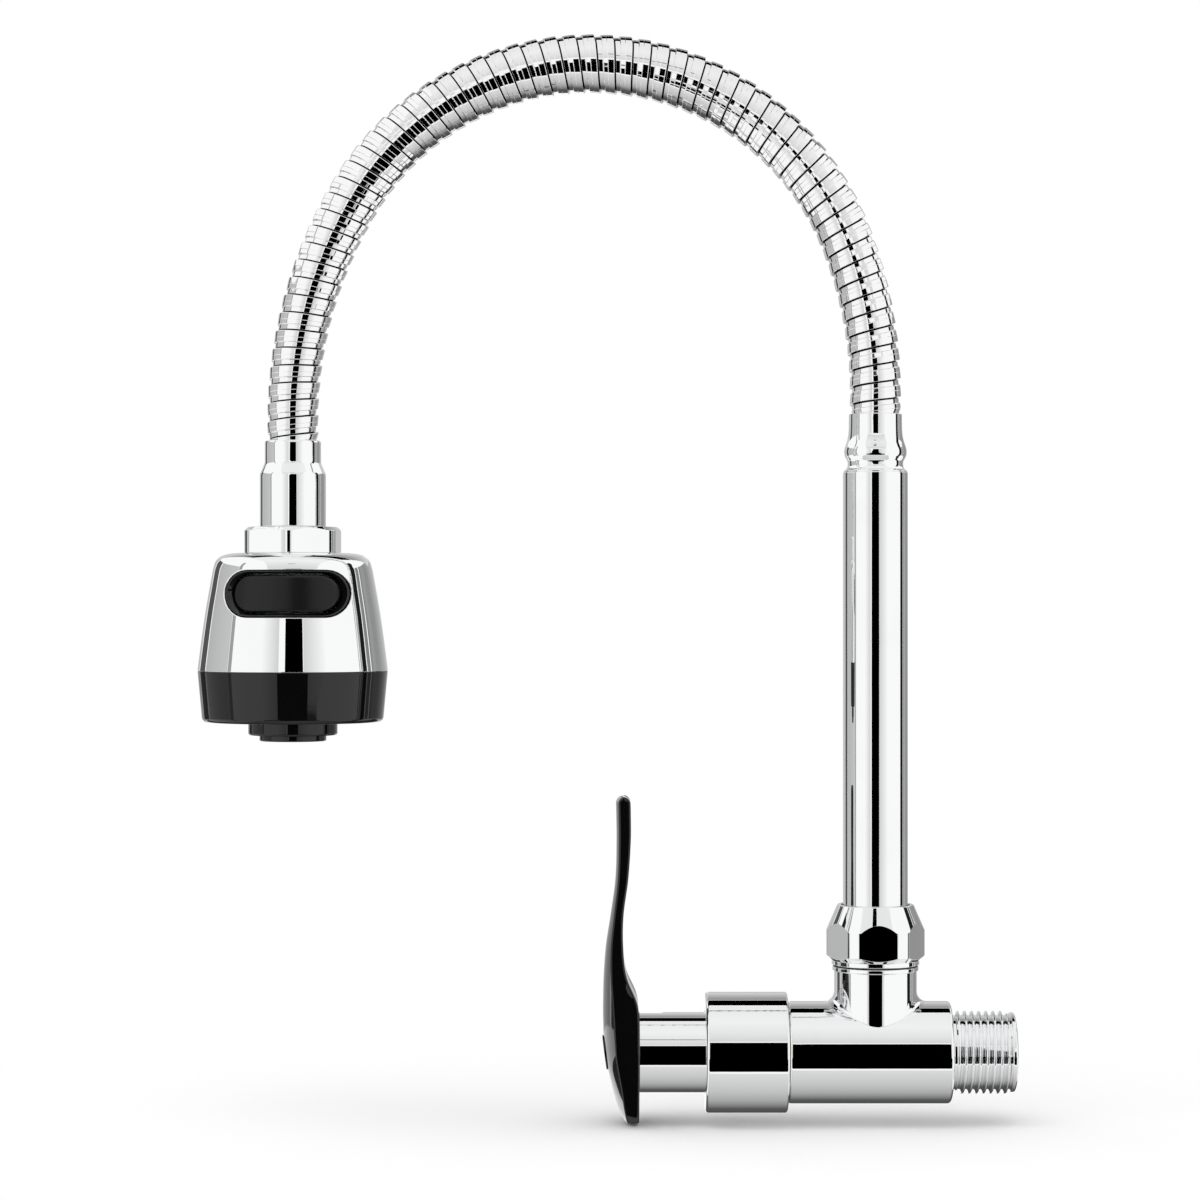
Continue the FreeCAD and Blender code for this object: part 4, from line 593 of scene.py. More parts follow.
def wind_hose():
    """Return the points and directions of the wound strip, and how far along the hose each point lies."""
    points, normals, reaches = [], [], []
    for row in range(HOSE_ROWS):
        angle = 2 * math.pi * row / HOSE_STEPS
        for share, depth, lean_part, out_part in STRIP:
            reach = (row / HOSE_STEPS + share - 1.0) * HOSE_PITCH
            place, normal = hose_point(reach, angle, depth, lean_part, out_part)
            points.append(place)
            normals.append(normal)
            reaches.append(max(0.0, min(HOSE_LENGTH, reach)))
    return points, normals, reaches


hose_points, hose_normals, hose_reaches = wind_hose()
print("hose points", len(hose_points))

# %% The strip's faces
NO_LENGTH = 1e-4


def strip_faces():
    """Yield the four corners of each face; the strip's far edge is the near edge of the next turn."""
    for row in range(HOSE_ROWS - HOSE_STEPS - 1):
        for column in range(STRIP_WIDTH):
            here = row * STRIP_WIDTH + column
            ahead = here + 1 if column + 1 < STRIP_WIDTH else (row + HOSE_STEPS) * STRIP_WIDTH
            yield here, here + STRIP_WIDTH, ahead + STRIP_WIDTH, ahead


def is_real(face):
    """Tell whether a face has area: at the hose's ends some are pressed flat, and those are left out."""
    reaches = [hose_reaches[corner] for corner in face]
    return max(reaches) - min(reaches) > NO_LENGTH and max(reaches) > 0.0 and min(reaches) < HOSE_LENGTH


# %% [markdown]
# The CAD bends the hose at nine hinges, so the strip is cut once at each hinge, across its back. That gives
# ten lengths, one for each moving body. Neighbouring lengths meet along the slit between two turns, whose
# shade is painted black, where the real strip slides open when the hose bends. One long mesh that bends
# across the hinges would be smoother, but it has to follow two bodies at once. Rigid lengths stay whole in
# every pose.

# %% Where the hose is cut
LINE_STEPS = 4000
CUT_ROW = HOSE_STEPS // 4   # a quarter turn: the strip is cut at the back


def nearest_reach(place):
    """Return how far along the hose a point of its line lies, in millimetres."""
    target = (place[0] / MM, place[2] / MM)
    steps = [HOSE_LENGTH * index / LINE_STEPS for index in range(LINE_STEPS + 1)]
    return min(steps, key=lambda reach: math.dist(hose_line(reach)[:2], target))


def cut_row(reach):
    """Return the row where the strip is cut for a hinge: the nearest one that lies at the back."""
    row = (reach / HOSE_PITCH + 0.5) * HOSE_STEPS
    return round((row - CUT_ROW) / HOSE_STEPS) * HOSE_STEPS + CUT_ROW


hinges = [joint for joint in frame["record"]["behaviour"]["joints"] if joint["name"].startswith("hose_")]
hinges.sort(key=lambda joint: joint["name"][-2:])
hinge_reaches = [nearest_reach(joint["pos_m"]) for joint in hinges]
cuts = [-1] + [cut_row(reach) for reach in hinge_reaches] + [HOSE_ROWS]
print("hinges along the hose", [round(reach, 1) for reach in hinge_reaches])

# %% Cut the hose into ten lengths along its slit
HOSE_BODIES = [hinges[0]["parent"]] + [joint["child"] for joint in hinges]


def faces_between(first, end):
    """Return the corners that the faces of some rows use, and the faces as places in that list."""
    kept, faces, index_of = [], [], {}
    for face in strip_faces():
        if not (first <= face[0] // STRIP_WIDTH < end and is_real(face)):
            continue
        for corner in face:
            if corner not in index_of:
                index_of[corner] = len(kept)
                kept.append(corner)
        faces.append([index_of[corner] for corner in face])
    return kept, faces


def hose_length_piece(number):
    """Make one length of hose, from the cut at one hinge to the cut at the next."""
    kept, faces = faces_between(cuts[number - 1], cuts[number])
    piece = make_piece("hose_length_%02d" % number, [hose_points[corner] for corner in kept], faces,
                       [hose_normals[corner] for corner in kept], hose_chrome, HOSE_BODIES[number - 1])
    # The slit's shade is painted: points deep in the slit get a gap value of 1, and the strip chrome turns
    # them black
    gap = piece.data.attributes.new("gap", "FLOAT", "POINT")
    for index, corner in enumerate(kept):
        gap.data[index].value = STRIP[corner % STRIP_WIDTH][1] > PAINTED_SHADE_DEPTH
    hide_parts("hose_section_%02d" % number)
    return piece


hose_pieces = [hose_length_piece(number) for number in range(1, len(cuts))]
print("hose lengths", len(hose_pieces), "faces", sum(len(piece.data.polygons) for piece in hose_pieces))

# %% [markdown]
# ## Turned chrome and black plastic
# The collar, the hub, the riser, both ferrules, the face ring and the nozzle come off a lathe or out of a
# round mould. Each is one closed profile turned about its axis. Blender's Screw modifier could turn it
# too, but here the exact direction of every point is known, so chrome mirrors the studio without ripples.

# %% Sizes that come from the CAD
NODE_NAMES = sum(frame["record"]["behaviour"]["bodies"].values(), [])
NODE_BOX = {name: [[value / MM for value in corner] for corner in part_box(name)] for name in NODE_NAMES}


def depths(name):
    """Return where a piece on the barrel axis starts and ends, counted from the wall towards the lever."""
    low, high = NODE_BOX[name]
    return -high[0], -low[0]


def drops(name):
    """Return where a piece on the head axis starts and ends, counted down from the hose's end."""
    low, high = NODE_BOX[name]
    return HEAD_TOP - high[2], HEAD_TOP - low[2]


def reach_of(name):
    """Return the half width of a piece across the front."""
    low, high = NODE_BOX[name]
    return (high[1] - low[1]) / 2


print("CAD boxes", len(NODE_BOX))

# %% Collar and hub
EDGE = 0.1   # the rounding of a turned edge that has none of its own
COLLAR_BORE = 12.75
COLLAR_EDGE = 0.9
COLLAR_RECESS = 1.9
HUB_GAP = 0.35
HUB_BORE = 8.4
COLLAR_RADIUS = reach_of("bonnet_collar")
HUB_RADIUS = reach_of("handle_hub")
collar_near, collar_far = depths("bonnet_collar")
collar_floor = collar_far - COLLAR_RECESS
turned("collar_sleeve", barrel_axis, closed_profile([
    (collar_near, COLLAR_BORE), (collar_near, COLLAR_RADIUS, COLLAR_EDGE),
    (collar_far, COLLAR_RADIUS, COLLAR_EDGE), (collar_far, HUB_RADIUS + HUB_GAP, 0.25),
    (collar_floor, HUB_RADIUS + HUB_GAP), (collar_floor, COLLAR_BORE)], EDGE),
    "chrome", "valve", ["bonnet_collar"])
hub_near, hub_far = depths("handle_hub")
turned("hub_sleeve", barrel_axis, closed_profile([
    (hub_near, HUB_BORE), (hub_near, HUB_RADIUS, 0.3), (hub_far, HUB_RADIUS, 0.15),
    (hub_far, HUB_BORE)], EDGE), "chrome", "handle", ["handle_hub"])
print("collar radius", round(COLLAR_RADIUS, 2), "hub radius", round(HUB_RADIUS, 2))

# %% Riser tube and its ferrule
RISER_BORE = 7.1
FERRULE_BORE = 6.0
TUBE_RADIUS = reach_of("spout_tube")
tube_low, tube_high = (NODE_BOX["spout_tube"][side][2] for side in (0, 1))
turned("riser_tube", spout_axis, closed_profile([
    (tube_low, RISER_BORE), (tube_low, TUBE_RADIUS, EDGE), (tube_high, TUBE_RADIUS, 0.35),
    (tube_high, RISER_BORE)], EDGE), "chrome", "spout", ["spout_tube"])
# Outline of the lower ferrule: height above the riser and radius
FERRULE_LINE = [
    (0.02, 8.05), (0.25, 8.0), (0.7, 7.5), (1.3, 7.15), (2.0, 7.04), (2.7, 7.14), (3.4, 7.5), (4.1, 7.82),
    (5.0, 7.95), (5.9, 7.86), (6.8, 7.6), (8.0, 7.2), (9.3, 6.93), (10.8, 6.8), (12.6, 6.76), (14.4, 6.74),
    (14.62, 6.68), (14.76, 6.5)]
outside = [(tube_high + along, radius, lean, out) for along, radius, lean, out in smooth_line(FERRULE_LINE)]
inside = [(outside[-1][0], FERRULE_BORE, 1.0, -0.2), (outside[0][0], FERRULE_BORE, -1.0, -0.2)]
turned("lower_ferrule_sleeve", spout_axis, outside + inside, "chrome", "spout", ["hose_ferrule_lower"])
print("riser from", round(tube_low, 2), "to", round(tube_high, 2))

# %% Dark seals in the two gaps of the spout nut
SEAL_EDGE = 0.05
# For each seal: foot, top, bore and outer radius
SEALS = {"boss_seal_ring": (21.6, 22.6, 9.6, 10.8), "riser_seal_ring": (37.2, 37.62, 8.28, 8.9)}
for name, (foot, top, bore, radius) in SEALS.items():
    profile = closed_profile([(foot, bore), (foot, radius), (top, radius), (top, bore)], SEAL_EDGE)
    turned(name, spout_axis, profile, "rubber", "valve", [])
print("seals", len(SEALS))

# %% Upper ferrule and face ring
FERRULE_NECK = 7.15
FERRULE_FOOT = 8.4
ferrule_end = drops("hose_ferrule_upper")[1]
turned("upper_ferrule_sleeve", head_axis, closed_profile([
    (0.02, FERRULE_BORE), (0.02, 7.0, 0.3), (0.6, FERRULE_NECK, 0.4), (5.7, FERRULE_NECK, 2.0),
    (8.6, FERRULE_FOOT, 2.0), (ferrule_end, FERRULE_FOOT, 0.2), (ferrule_end, FERRULE_BORE)], EDGE),
    "chrome", "hose_10", ["hose_ferrule_upper"])
RING_RADIUS = reach_of("face_ring")
RING_TAPER = 1.2
RING_BORE = 20.4
RING_LIP = (18.8, 1.4)   # bore and height
ring_start, ring_end = drops("face_ring")
lip_bore, lip_height = RING_LIP
turned("face_ring_cover", head_axis, closed_profile([
    (ring_start, RING_BORE), (ring_start, RING_RADIUS, 0.25), (ring_end, RING_RADIUS - RING_TAPER, 1.3),
    (ring_end, lip_bore, 0.3), (ring_end - lip_height, lip_bore), (ring_end - lip_height, RING_BORE)], EDGE),
    "black_gloss", "head", ["face_ring"])
print("face ring radius", round(RING_RADIUS, 2))

# %% Nozzle
NOZZLE_WAY = 6.1
NOZZLE_STEM = 9.4
NOZZLE_TIP = 8.5
NOZZLE_MOUTH = (6.9, 3.45)   # radius and depth
NOZZLE_STEPS = (4.9, 1.5)   # height of the wide step and of the tip below it
NOZZLE_RADIUS = reach_of("aerator_housing")
stem_top, nozzle_end = drops("aerator_housing")
wide_end = nozzle_end - NOZZLE_STEPS[1]
wide_start = wide_end - NOZZLE_STEPS[0]
mouth_radius, mouth_floor = NOZZLE_MOUTH[0], nozzle_end - NOZZLE_MOUTH[1]
turned("nozzle_cover", head_axis, closed_profile([
    (stem_top, NOZZLE_WAY), (stem_top, NOZZLE_STEM), (wide_start, NOZZLE_STEM),
    (wide_start, NOZZLE_RADIUS, 0.2), (wide_end, NOZZLE_RADIUS, 0.6), (wide_end, NOZZLE_TIP, 0.15),
    (nozzle_end, NOZZLE_TIP, 0.35), (nozzle_end, mouth_radius, 0.3), (mouth_floor, mouth_radius),
    (mouth_floor, NOZZLE_WAY)], 0.08), "black_gloss", "head", ["aerator_housing"])
print("nozzle from", round(stem_top, 2), "to", round(nozzle_end, 2), "below the hose's end")

# %% [markdown]
# ## The two nuts
# Both nuts start as round bar with six flats milled on it. Where a flat runs into a cone it ends in an
# arc, and that arc is what makes a nut look like a nut. A six-sided prism with a bevel would miss it. So
# the profile is worked out again at each step round the nut, with the radius that the flat leaves there.

# %% Six flats on a turned profile
FLAT_STEPS = 10
CORNER_STEPS = 4
NUT_EDGE = 0.12


def plan_of_nut(flats, corner_radius, first_turn):
    """Yield the angle, the radius and the angle that the side faces, once round a nut."""
    half = math.acos(flats / 2 / corner_radius)
    for side in range(6):
        middle = math.radians(first_turn + 60 * side)
        for step in range(FLAT_STEPS + 1):
            turn_from_middle = half * (2 * step / FLAT_STEPS - 1)
            yield middle + turn_from_middle, flats / 2 / math.cos(turn_from_middle), middle
        for step in range(1, CORNER_STEPS):
            angle = middle + half + (math.radians(60) - 2 * half) * step / CORNER_STEPS
            yield angle, corner_radius, angle


def six_sided(name, axis, corners_at, plan, side_run, slot, body, replaced):
    """Make a nut: corners_at gives the profile for a radius, side_run numbers the corner under the side."""
    shape = Shape()
    rows = []
    for angle, radius, facing in plan_of_nut(*plan):
        profile = closed_profile(corners_at(radius), NUT_EDGE)
        row = []
        for index, (along, across, lean, out) in enumerate(profile):
            corner, step = (index - 1) // (ARC_STEPS + 1), (index - 1) % (ARC_STEPS + 1) / ARC_STEPS
            share = {side_run: step, side_run + 1: 1 - step}.get(corner, 0.0)
            place, outward = axis.pair(along, across, angle, lean, 0.0)
            spoke = axis.spoke(angle) * (1 - share) + axis.spoke(facing) * share
            row.append((place, outward + spoke.normalized() * out))
        rows.append(row)
    shape.grid(rows, closed_rows=True, closed_columns=True)
    shape.piece(name, slot, body, replaced)


# %% Spout nut
# Width across the flats, radius of the corners and turn of the first flat
SPOUT_NUT_PLAN = (23.3, 12.5, 0)
NUT_TOP_RADIUS = 9.7
NUT_CONE = 2.8 / 6.4
NUT_RING = (11.15, 1.35)   # radius and height of the ring at the foot
NUT_FOOT = 0.2
NUT_STEP = 0.15
NUT_SLOPE = 0.85
NUT_BORE = 9.7
NUT_OPENING = 8.75
NUT_FACE = 3.0
nut_low, nut_high = (NODE_BOX["spout_nut"][side][2] for side in (0, 1))


def spout_nut_corners(radius):
    """Foot ring, lower slope, side, cone and the opening for the riser."""
    ring_radius, ring_height = NUT_RING
    foot, ring_top, face = nut_low + NUT_FOOT, nut_low + ring_height, nut_high - NUT_FACE
    slope_top = ring_top + NUT_STEP + (radius - ring_radius) * NUT_SLOPE
    cone_foot = nut_high - (radius - NUT_TOP_RADIUS) / NUT_CONE
    return [(foot, NUT_BORE), (foot, ring_radius, 0.2), (ring_top, ring_radius, 0.2),
            (slope_top, radius, 0.18), (cone_foot, radius, 0.18), (nut_high, NUT_TOP_RADIUS, 0.35),
            (nut_high, NUT_OPENING, 0.12), (face, NUT_OPENING), (face, NUT_BORE)]


six_sided("spout_nut_cover", spout_axis, spout_nut_corners, SPOUT_NUT_PLAN, 2, "chrome", "valve",
          ["spout_nut"])
print("spout nut from", round(nut_low, 2), "to", round(nut_high, 2))

# %% Head nut
# Width across the flats, radius of the corners and turn of the first flat
HEAD_NUT_PLAN = (23.4, 12.6, 34)
HEAD_NUT_SIDE = 6.6
HEAD_NUT_EDGE = 11.35
HEAD_NUT_BORE = 5.6
HEAD_NUT_FACE = 2.0
LEAST_CHAMFER = 0.25
CHAMFER_SLOPE = 0.55
SKIRT_RADIUS = 9.6
SKIRT_BORE = 8.6
SKIRT_DEPTH = 4.0
head_nut_top = drops("head_nut")[0]
head_nut_foot = head_nut_top + HEAD_NUT_SIDE


def head_nut_corners(radius):
    """Chamfered top, side and foot; the skirt below is hidden in the shell."""
    chamfer = LEAST_CHAMFER + (radius - HEAD_NUT_EDGE) * CHAMFER_SLOPE
    skirt_foot, face = head_nut_foot + SKIRT_DEPTH, head_nut_top + HEAD_NUT_FACE
    return [(head_nut_top, HEAD_NUT_BORE), (head_nut_top, HEAD_NUT_EDGE, 0.4),
            (head_nut_top + chamfer, radius, 0.3), (head_nut_foot, radius, 0.12),
            (head_nut_foot, SKIRT_RADIUS), (skirt_foot, SKIRT_RADIUS), (skirt_foot, SKIRT_BORE),
            (face, SKIRT_BORE), (face, HEAD_NUT_BORE)]


six_sided("head_nut_cover", head_axis, head_nut_corners, HEAD_NUT_PLAN, 1, "chrome", "head", ["head_nut"])
print("head nut top", round(head_nut_top, 2))

# %% [markdown]
# ## The valve body
# The body is one casting: a barrel that lies along the wall pipe, and a boss that stands on it for the
# spout. Where the two cylinders meet, the pattern maker leaves a soft hollow, a fillet. A ball that rolls
# along the corner and touches both cylinders gives that fillet exactly: its middle lies on a curve that
# can be written down, and the hollow is the part of the ball between its two touching points.

# %% The fillet between boss and barrel
BARREL_RADIUS = 12.95
BARREL_END = depths("valve_body")[1]
BARREL_EDGE = 0.9
BOSS_RADIUS = 10.5
BOSS_TOP = 20.9
RIM_RADIUS = 10.95
RIM_TOP = 22.0
RIM_NECK = 0.6
BOSS_BORE = 9.0
FILLET_WIDE = 2.7
FILLET_NARROW = 0.5
SADDLE_STEPS = 96
FILLET_STEPS = 6


def fillet_at(angle):
    """Return the ball's middle, its radius and the two directions in which it touches."""
    ball = FILLET_NARROW + (FILLET_WIDE - FILLET_NARROW) * math.cos(angle) ** 4
    reach = BOSS_RADIUS + ball
    across, along = reach * math.cos(angle), reach * math.sin(angle)
    height = math.sqrt((BARREL_RADIUS + ball) ** 2 - along ** 2)
    middle = Vector((SPOUT_ACROSS + across, along, height))
    to_boss = Vector((math.cos(angle), math.sin(angle), 0.0))
    to_barrel = Vector((0.0, along, height)).normalized()
    return middle, ball, to_boss, to_barrel


def saddle_row(angle):
    """Return the points up the boss, through the fillet and onto the barrel at one angle."""
    middle, ball, to_boss, to_barrel = fillet_at(angle)
    rim = rounded([(RIM_TOP, BOSS_BORE), (RIM_TOP, RIM_RADIUS), (BOSS_TOP, RIM_RADIUS),
                   (BOSS_TOP, BOSS_RADIUS, 0.1), (BOSS_TOP - RIM_NECK, BOSS_RADIUS)], 0.25)
    row = [(Vector((SPOUT_ACROSS, 0, height)) + to_boss * radius, Vector((0, 0, 1)) * -lean + to_boss * -out)
           for height, radius, lean, out in rim]
    for step in range(FILLET_STEPS + 1):
        facing = to_boss.slerp(to_barrel, step / FILLET_STEPS)
        row.append((middle - facing * ball, facing))
    return row


body_shape = Shape()
saddle = [saddle_row(2 * math.pi * step / SADDLE_STEPS) for step in range(SADDLE_STEPS)]
body_shape.grid(saddle, closed_rows=True)


# %% The barrel with its opening for the boss
def barrel_pair(across, bend):
    """Return a place on the barrel from how far across it lies and how far round, and its direction."""
    out = Vector((0.0, math.sin(bend), math.cos(bend)))
    return Vector((across, 0, 0)) + out * BARREL_RADIUS, out


PATCH = ((-BARREL_END + BARREL_EDGE, -math.pi / 2), (-BARREL_EDGE, math.pi / 2))
PATCH_RINGS = 5
TINY = 1e-9
ON_EDGE = 1e-6


def edge_of_patch(across, bend):
    """Return where the ray from the boss through a place on the barrel leaves the patch."""
    (low_x, low_b), (high_x, high_b) = PATCH
    step_x, step_b = across - SPOUT_ACROSS, bend
    limits = []
    if abs(step_x) > TINY:
        limits.append(((high_x if step_x > 0 else low_x) - SPOUT_ACROSS) / step_x)
    if abs(step_b) > TINY:
        limits.append((high_b if step_b > 0 else low_b) / step_b)
    reach = min(limits)
    return SPOUT_ACROSS + step_x * reach, step_b * reach


opening = []
for row in saddle:
    place = row[-1][0]
    opening.append((place.x, math.atan2(place.y, place.z)))
outer_edge = [edge_of_patch(*place) for place in opening]
for corner in [(x, b) for x in (PATCH[0][0], PATCH[1][0]) for b in (PATCH[0][1], PATCH[1][1])]:
    nearest = min(range(SADDLE_STEPS), key=lambda index: math.dist(outer_edge[index], corner))
    outer_edge[nearest] = corner
rows = []
for inner_place, outer_place in zip(opening, outer_edge):
    row = []
    for ring in range(PATCH_RINGS + 1):
        share = ring / PATCH_RINGS
        row.append(barrel_pair(*[a + (b - a) * share for a, b in zip(inner_place, outer_place)]))
    rows.append(row)
body_shape.grid(rows, closed_rows=True)

# %% The barrel's underside and ends
UNDER_STEPS = 48
BARREL_BORE = 9.8
BARREL_DEPTH = 20
side_places = sorted(x for x, b in outer_edge if abs(b - math.pi / 2) < ON_EDGE)
under = [math.pi / 2 + math.pi * step / UNDER_STEPS for step in range(UNDER_STEPS + 1)]
body_shape.grid([[barrel_pair(x, bend) for x in side_places] for bend in under])


def barrel_end(edge_x, corners):
    """Close one end of the barrel with a rounded edge and a face; the corners start further in."""
    round_about = sorted(b for x, b in outer_edge if abs(x - edge_x) < ON_EDGE) + under[1:-1]
    profile = rounded(corners, BARREL_EDGE)[1:]
    sign = 1 if edge_x < -BARREL_END / 2 else -1
    rows = []
    for bend in round_about:
        spoke = Vector((0.0, math.sin(bend), math.cos(bend)))
        row = []
        for along, radius, lean, out in profile:
            facing = Vector((-lean, 0, 0)) + spoke * out
            row.append((Vector((-along, 0, 0)) + spoke * radius, facing * sign))
        rows.append(row)
    body_shape.grid(rows, closed_rows=True)


barrel_end(PATCH[0][0], [(BARREL_END - 3, BARREL_RADIUS), (BARREL_END, BARREL_RADIUS),
                         (BARREL_END, BARREL_BORE, 0.05), (BARREL_END - BARREL_DEPTH, BARREL_BORE)])
barrel_end(PATCH[1][0], [(3, BARREL_RADIUS), (0, BARREL_RADIUS), (0, 10.2, 0.05), (0.2, 9.3)])
body_shape.piece("valve_body_casting", "chrome", "valve", ["valve_body"])
print("valve body points", len(body_shape.points))

# %% [markdown]
# ## The inlet thread
# A pipe thread is one groove that winds round the nipple. Rings would do from far off, but the lean of
# the crests is what the eye knows a screw by, so the crest is swept along a real helix. It fades in and
# out over half a turn, as the cutting tool is drawn in and out.

# %% Wind the thread
NIPPLE_END = -depths("valve_body")[0]
THREAD_PITCH = 1.814
THREAD_CREST = 10.4775
THREAD_HEIGHT = 1.16
THREAD_ROOT = THREAD_CREST - THREAD_HEIGHT
THREAD_FIRST = 0.9
THREAD_LAST = 14.9
THREAD_FADE = 0.9
THREAD_STEPS = 64
# One turn of the thread: share of the pitch, height above the root and rounding
THREAD_CORNERS = [(0.0, 0.0, 0.0), (0.16, 0.0, 0.18), (0.42, THREAD_HEIGHT, 0.26),
                  (0.64, THREAD_HEIGHT, 0.26), (0.90, 0.0, 0.18), (1.0, 0.0, 0.0)]
thread_profile = [(along / THREAD_PITCH, height, lean, out) for along, height, lean, out in rounded(
    [(share * THREAD_PITCH, height, size) for share, height, size in THREAD_CORNERS], 0.2)]
turns = math.ceil((THREAD_LAST - THREAD_FIRST) / THREAD_PITCH) + 1


def thread_pair(angle, share, height, lean, out):
    """Return a place on the thread, kept between its ends, and the direction it faces."""
    along = THREAD_FIRST + (angle / (2 * math.pi) + share - 1) * THREAD_PITCH
    along = max(THREAD_FIRST, min(THREAD_LAST, along))
    fade = max(0.0, min(1.0, (along - THREAD_FIRST) / THREAD_FADE, (THREAD_LAST - along) / THREAD_FADE))
    spoke = Vector((0.0, math.sin(angle), math.cos(angle)))
    return Vector((along, 0, 0)) + spoke * (THREAD_ROOT + height * fade), Vector((lean, 0, 0)) + spoke * out


thread_shape = Shape()
rows = []
for step in range(turns * THREAD_STEPS + 1):
    angle = 2 * math.pi * step / THREAD_STEPS
    rows.append([thread_pair(angle, *corner) for corner in thread_profile])
thread_shape.grid(rows)
print("thread turns", turns, "points", len(thread_shape.points))

# %% The plain ends of the nipple
NIPPLE_RADIUS = THREAD_ROOT + 0.75
NIPPLE_BORE = 6.5
INLET_BORE = 4.5
INLET_STEP = -6.0
INLET_END = -9.0
nipple = Axis((0, 0, 0), (1, 0, 0), (0, 0, 1))
collar_corners = [(THREAD_LAST, THREAD_ROOT, 0.05), (THREAD_LAST + 0.25, NIPPLE_RADIUS, 0.3),
                  (NIPPLE_END, NIPPLE_RADIUS, 0.55), (NIPPLE_END, NIPPLE_BORE, 0.4),
                  (INLET_STEP, NIPPLE_BORE), (INLET_STEP, INLET_BORE), (INLET_END, INLET_BORE)]
foot_corners = [(-0.2, 9.9), (0.05, 9.9, 0.2), (0.3, THREAD_ROOT, 0.2), (THREAD_FIRST, THREAD_ROOT)]
for corners in (collar_corners, foot_corners):
    add_turned(thread_shape, nipple, rounded(corners, 0.15), THREAD_STEPS, closed=False)
thread_shape.piece("inlet_thread_cover", "chrome", "valve", ["valve_body"])
print("nipple end", round(NIPPLE_END, 3))

# %% [markdown]
# ## The lever
# The lever is pressed in gloss black plastic: a broad shield over the hub that narrows into a flat arm.
# Its two sides are flat and mirror the dark camera, its front is gently crowned, and its long edges are
# broken by a small radius that shows as a grey line. It is lofted: one closed section is drawn again and
# again up its height, with the sizes read from smooth lines.

# %% Lines that the lever follows
LEVER_PLANE = -hub_far
LEVER_TOP = NODE_BOX["lever"][1][2]
LEVER_FOOT = NODE_BOX["lever"][0][2]
LEVER_DEPTH = 9.27
# Height above the barrel axis, front and back face as shares of the depth, and half width
LEVER_LINE = [
    (-18.0, 0.33, 0.00, 4.4), (-16.7, 0.43, 0.00, 6.6), (-13.0, 0.61, 0.0, 10.8), (-6.8, 0.79, 0.0, 14.0),
    (0.0, 0.94, 0.0, 14.95), (8.5, 0.99, 0.0, 14.4), (13.7, 0.99, 0.06, 12.9), (20.2, 0.97, 0.35, 10.5),
    (27.4, 0.91, 0.44, 8.4), (35.3, 0.78, 0.43, 6.7), (44.4, 0.65, 0.30, 5.8), (54.2, 0.62, 0.23, 5.88),
    (61.4, 0.63, 0.23, 5.94), (65.3, 0.64, 0.24, 5.94)]


def lever_sizes(height):
    """Return the front place, the back place and the half width at a height, on smooth lines."""
    found = []
    for column in (1, 2, 3):
        line = [(station[0], station[column]) for station in LEVER_LINE]
        index = max([place for place in range(len(line) - 1) if line[place][0] <= height], default=0)
        before, after = line[max(index - 1, 0)], line[min(index + 2, len(line) - 1)]
        (start, value), (end, following) = line[index], line[index + 1]
        share = (height - start) / (end - start)
        leave = (following - before[1]) / (end - before[0]) * (end - start)
        arrive = (after[1] - value) / (after[0] - start) * (end - start)
        found.append(ease(value, following, leave, arrive, share))
    front, back, half = found
    return LEVER_PLANE - LEVER_DEPTH * front, LEVER_PLANE - LEVER_DEPTH * max(back, 0.0), half


print("lever from", round(LEVER_FOOT, 2), "to", round(LEVER_TOP, 2))

# %% One section of the lever
LEVER_BACK_EDGE = 0.55
LEVER_FRONT_EDGE = 0.5
CROWN_STEPS = 8
LEAST_CROWN = 0.05
CROWN_BY_WIDTH = 0.24
CROWN_START = 0.7
CROWN_BY_DEPTH = 0.42
EDGE_BY_DEPTH = 0.3


def lever_section(height, inset):
    """Return (across, aside, direction across, direction aside) once round the lever, from its back."""
    front, back, half = lever_sizes(height)
    front, back, half = front + inset, back - inset, half - inset
    thick = back - front
    rise = max(LEAST_CROWN, min(CROWN_BY_WIDTH * half - CROWN_START, CROWN_BY_DEPTH * thick))
    bend = (half ** 2 + rise ** 2) / (2 * rise)
    slope = math.asin(half / bend)
    edge = min(LEVER_FRONT_EDGE, EDGE_BY_DEPTH * thick)
    back_edge = min(LEVER_BACK_EDGE, EDGE_BY_DEPTH * thick)
    line = [(0.0, back), (half, back, back_edge), (half, front + rise, edge)]
    flat_end = half - 2 * edge * math.cos(slope / 2)
    line.append((flat_end, front + bend - math.sqrt(bend ** 2 - flat_end ** 2)))
    half_section = [(across, aside, normal_across, normal_aside)
                    for aside, across, normal_aside, normal_across in rounded(line, 0.3)[:-1]]
    for step in range(CROWN_STEPS + 1):
        aside = flat_end * (1 - step / CROWN_STEPS)
        half_section.append((front + bend - math.sqrt(bend ** 2 - aside ** 2), aside,
                             -math.sqrt(bend ** 2 - aside ** 2) / bend, aside / bend))
    other_half = [(across, -aside, normal_across, -normal_aside)
                  for across, aside, normal_across, normal_aside in reversed(half_section)]
    return half_section + other_half


# %% Loft the lever
TIP_ROUND = 1.75
FOOT_ROUND = 0.8
END_STEPS = 8
LEVER_ROWS = 72
# The flat sides are shaded as if a little hollow, so that they face the front more than their outline tells
SIDE_TILT = 0.15
SIDE_FACING = 0.9


def lever_rows():
    """Return (height, inset) for every section: rounded foot, long middle and rounded tip."""
    rows = [(LEVER_FOOT + FOOT_ROUND * (1 - math.cos(math.pi / 2 * step / END_STEPS)),
             FOOT_ROUND * (1 - math.sin(math.pi / 2 * step / END_STEPS))) for step in range(END_STEPS)]
    low, high = LEVER_FOOT + FOOT_ROUND, LEVER_TOP - TIP_ROUND
    rows += [(low + (high - low) * step / LEVER_ROWS, 0.0) for step in range(LEVER_ROWS)]
    rows += [(high + TIP_ROUND * math.sin(math.pi / 2 * step / END_STEPS),
              TIP_ROUND * (1 - math.cos(math.pi / 2 * step / END_STEPS))) for step in range(END_STEPS + 1)]
    return rows


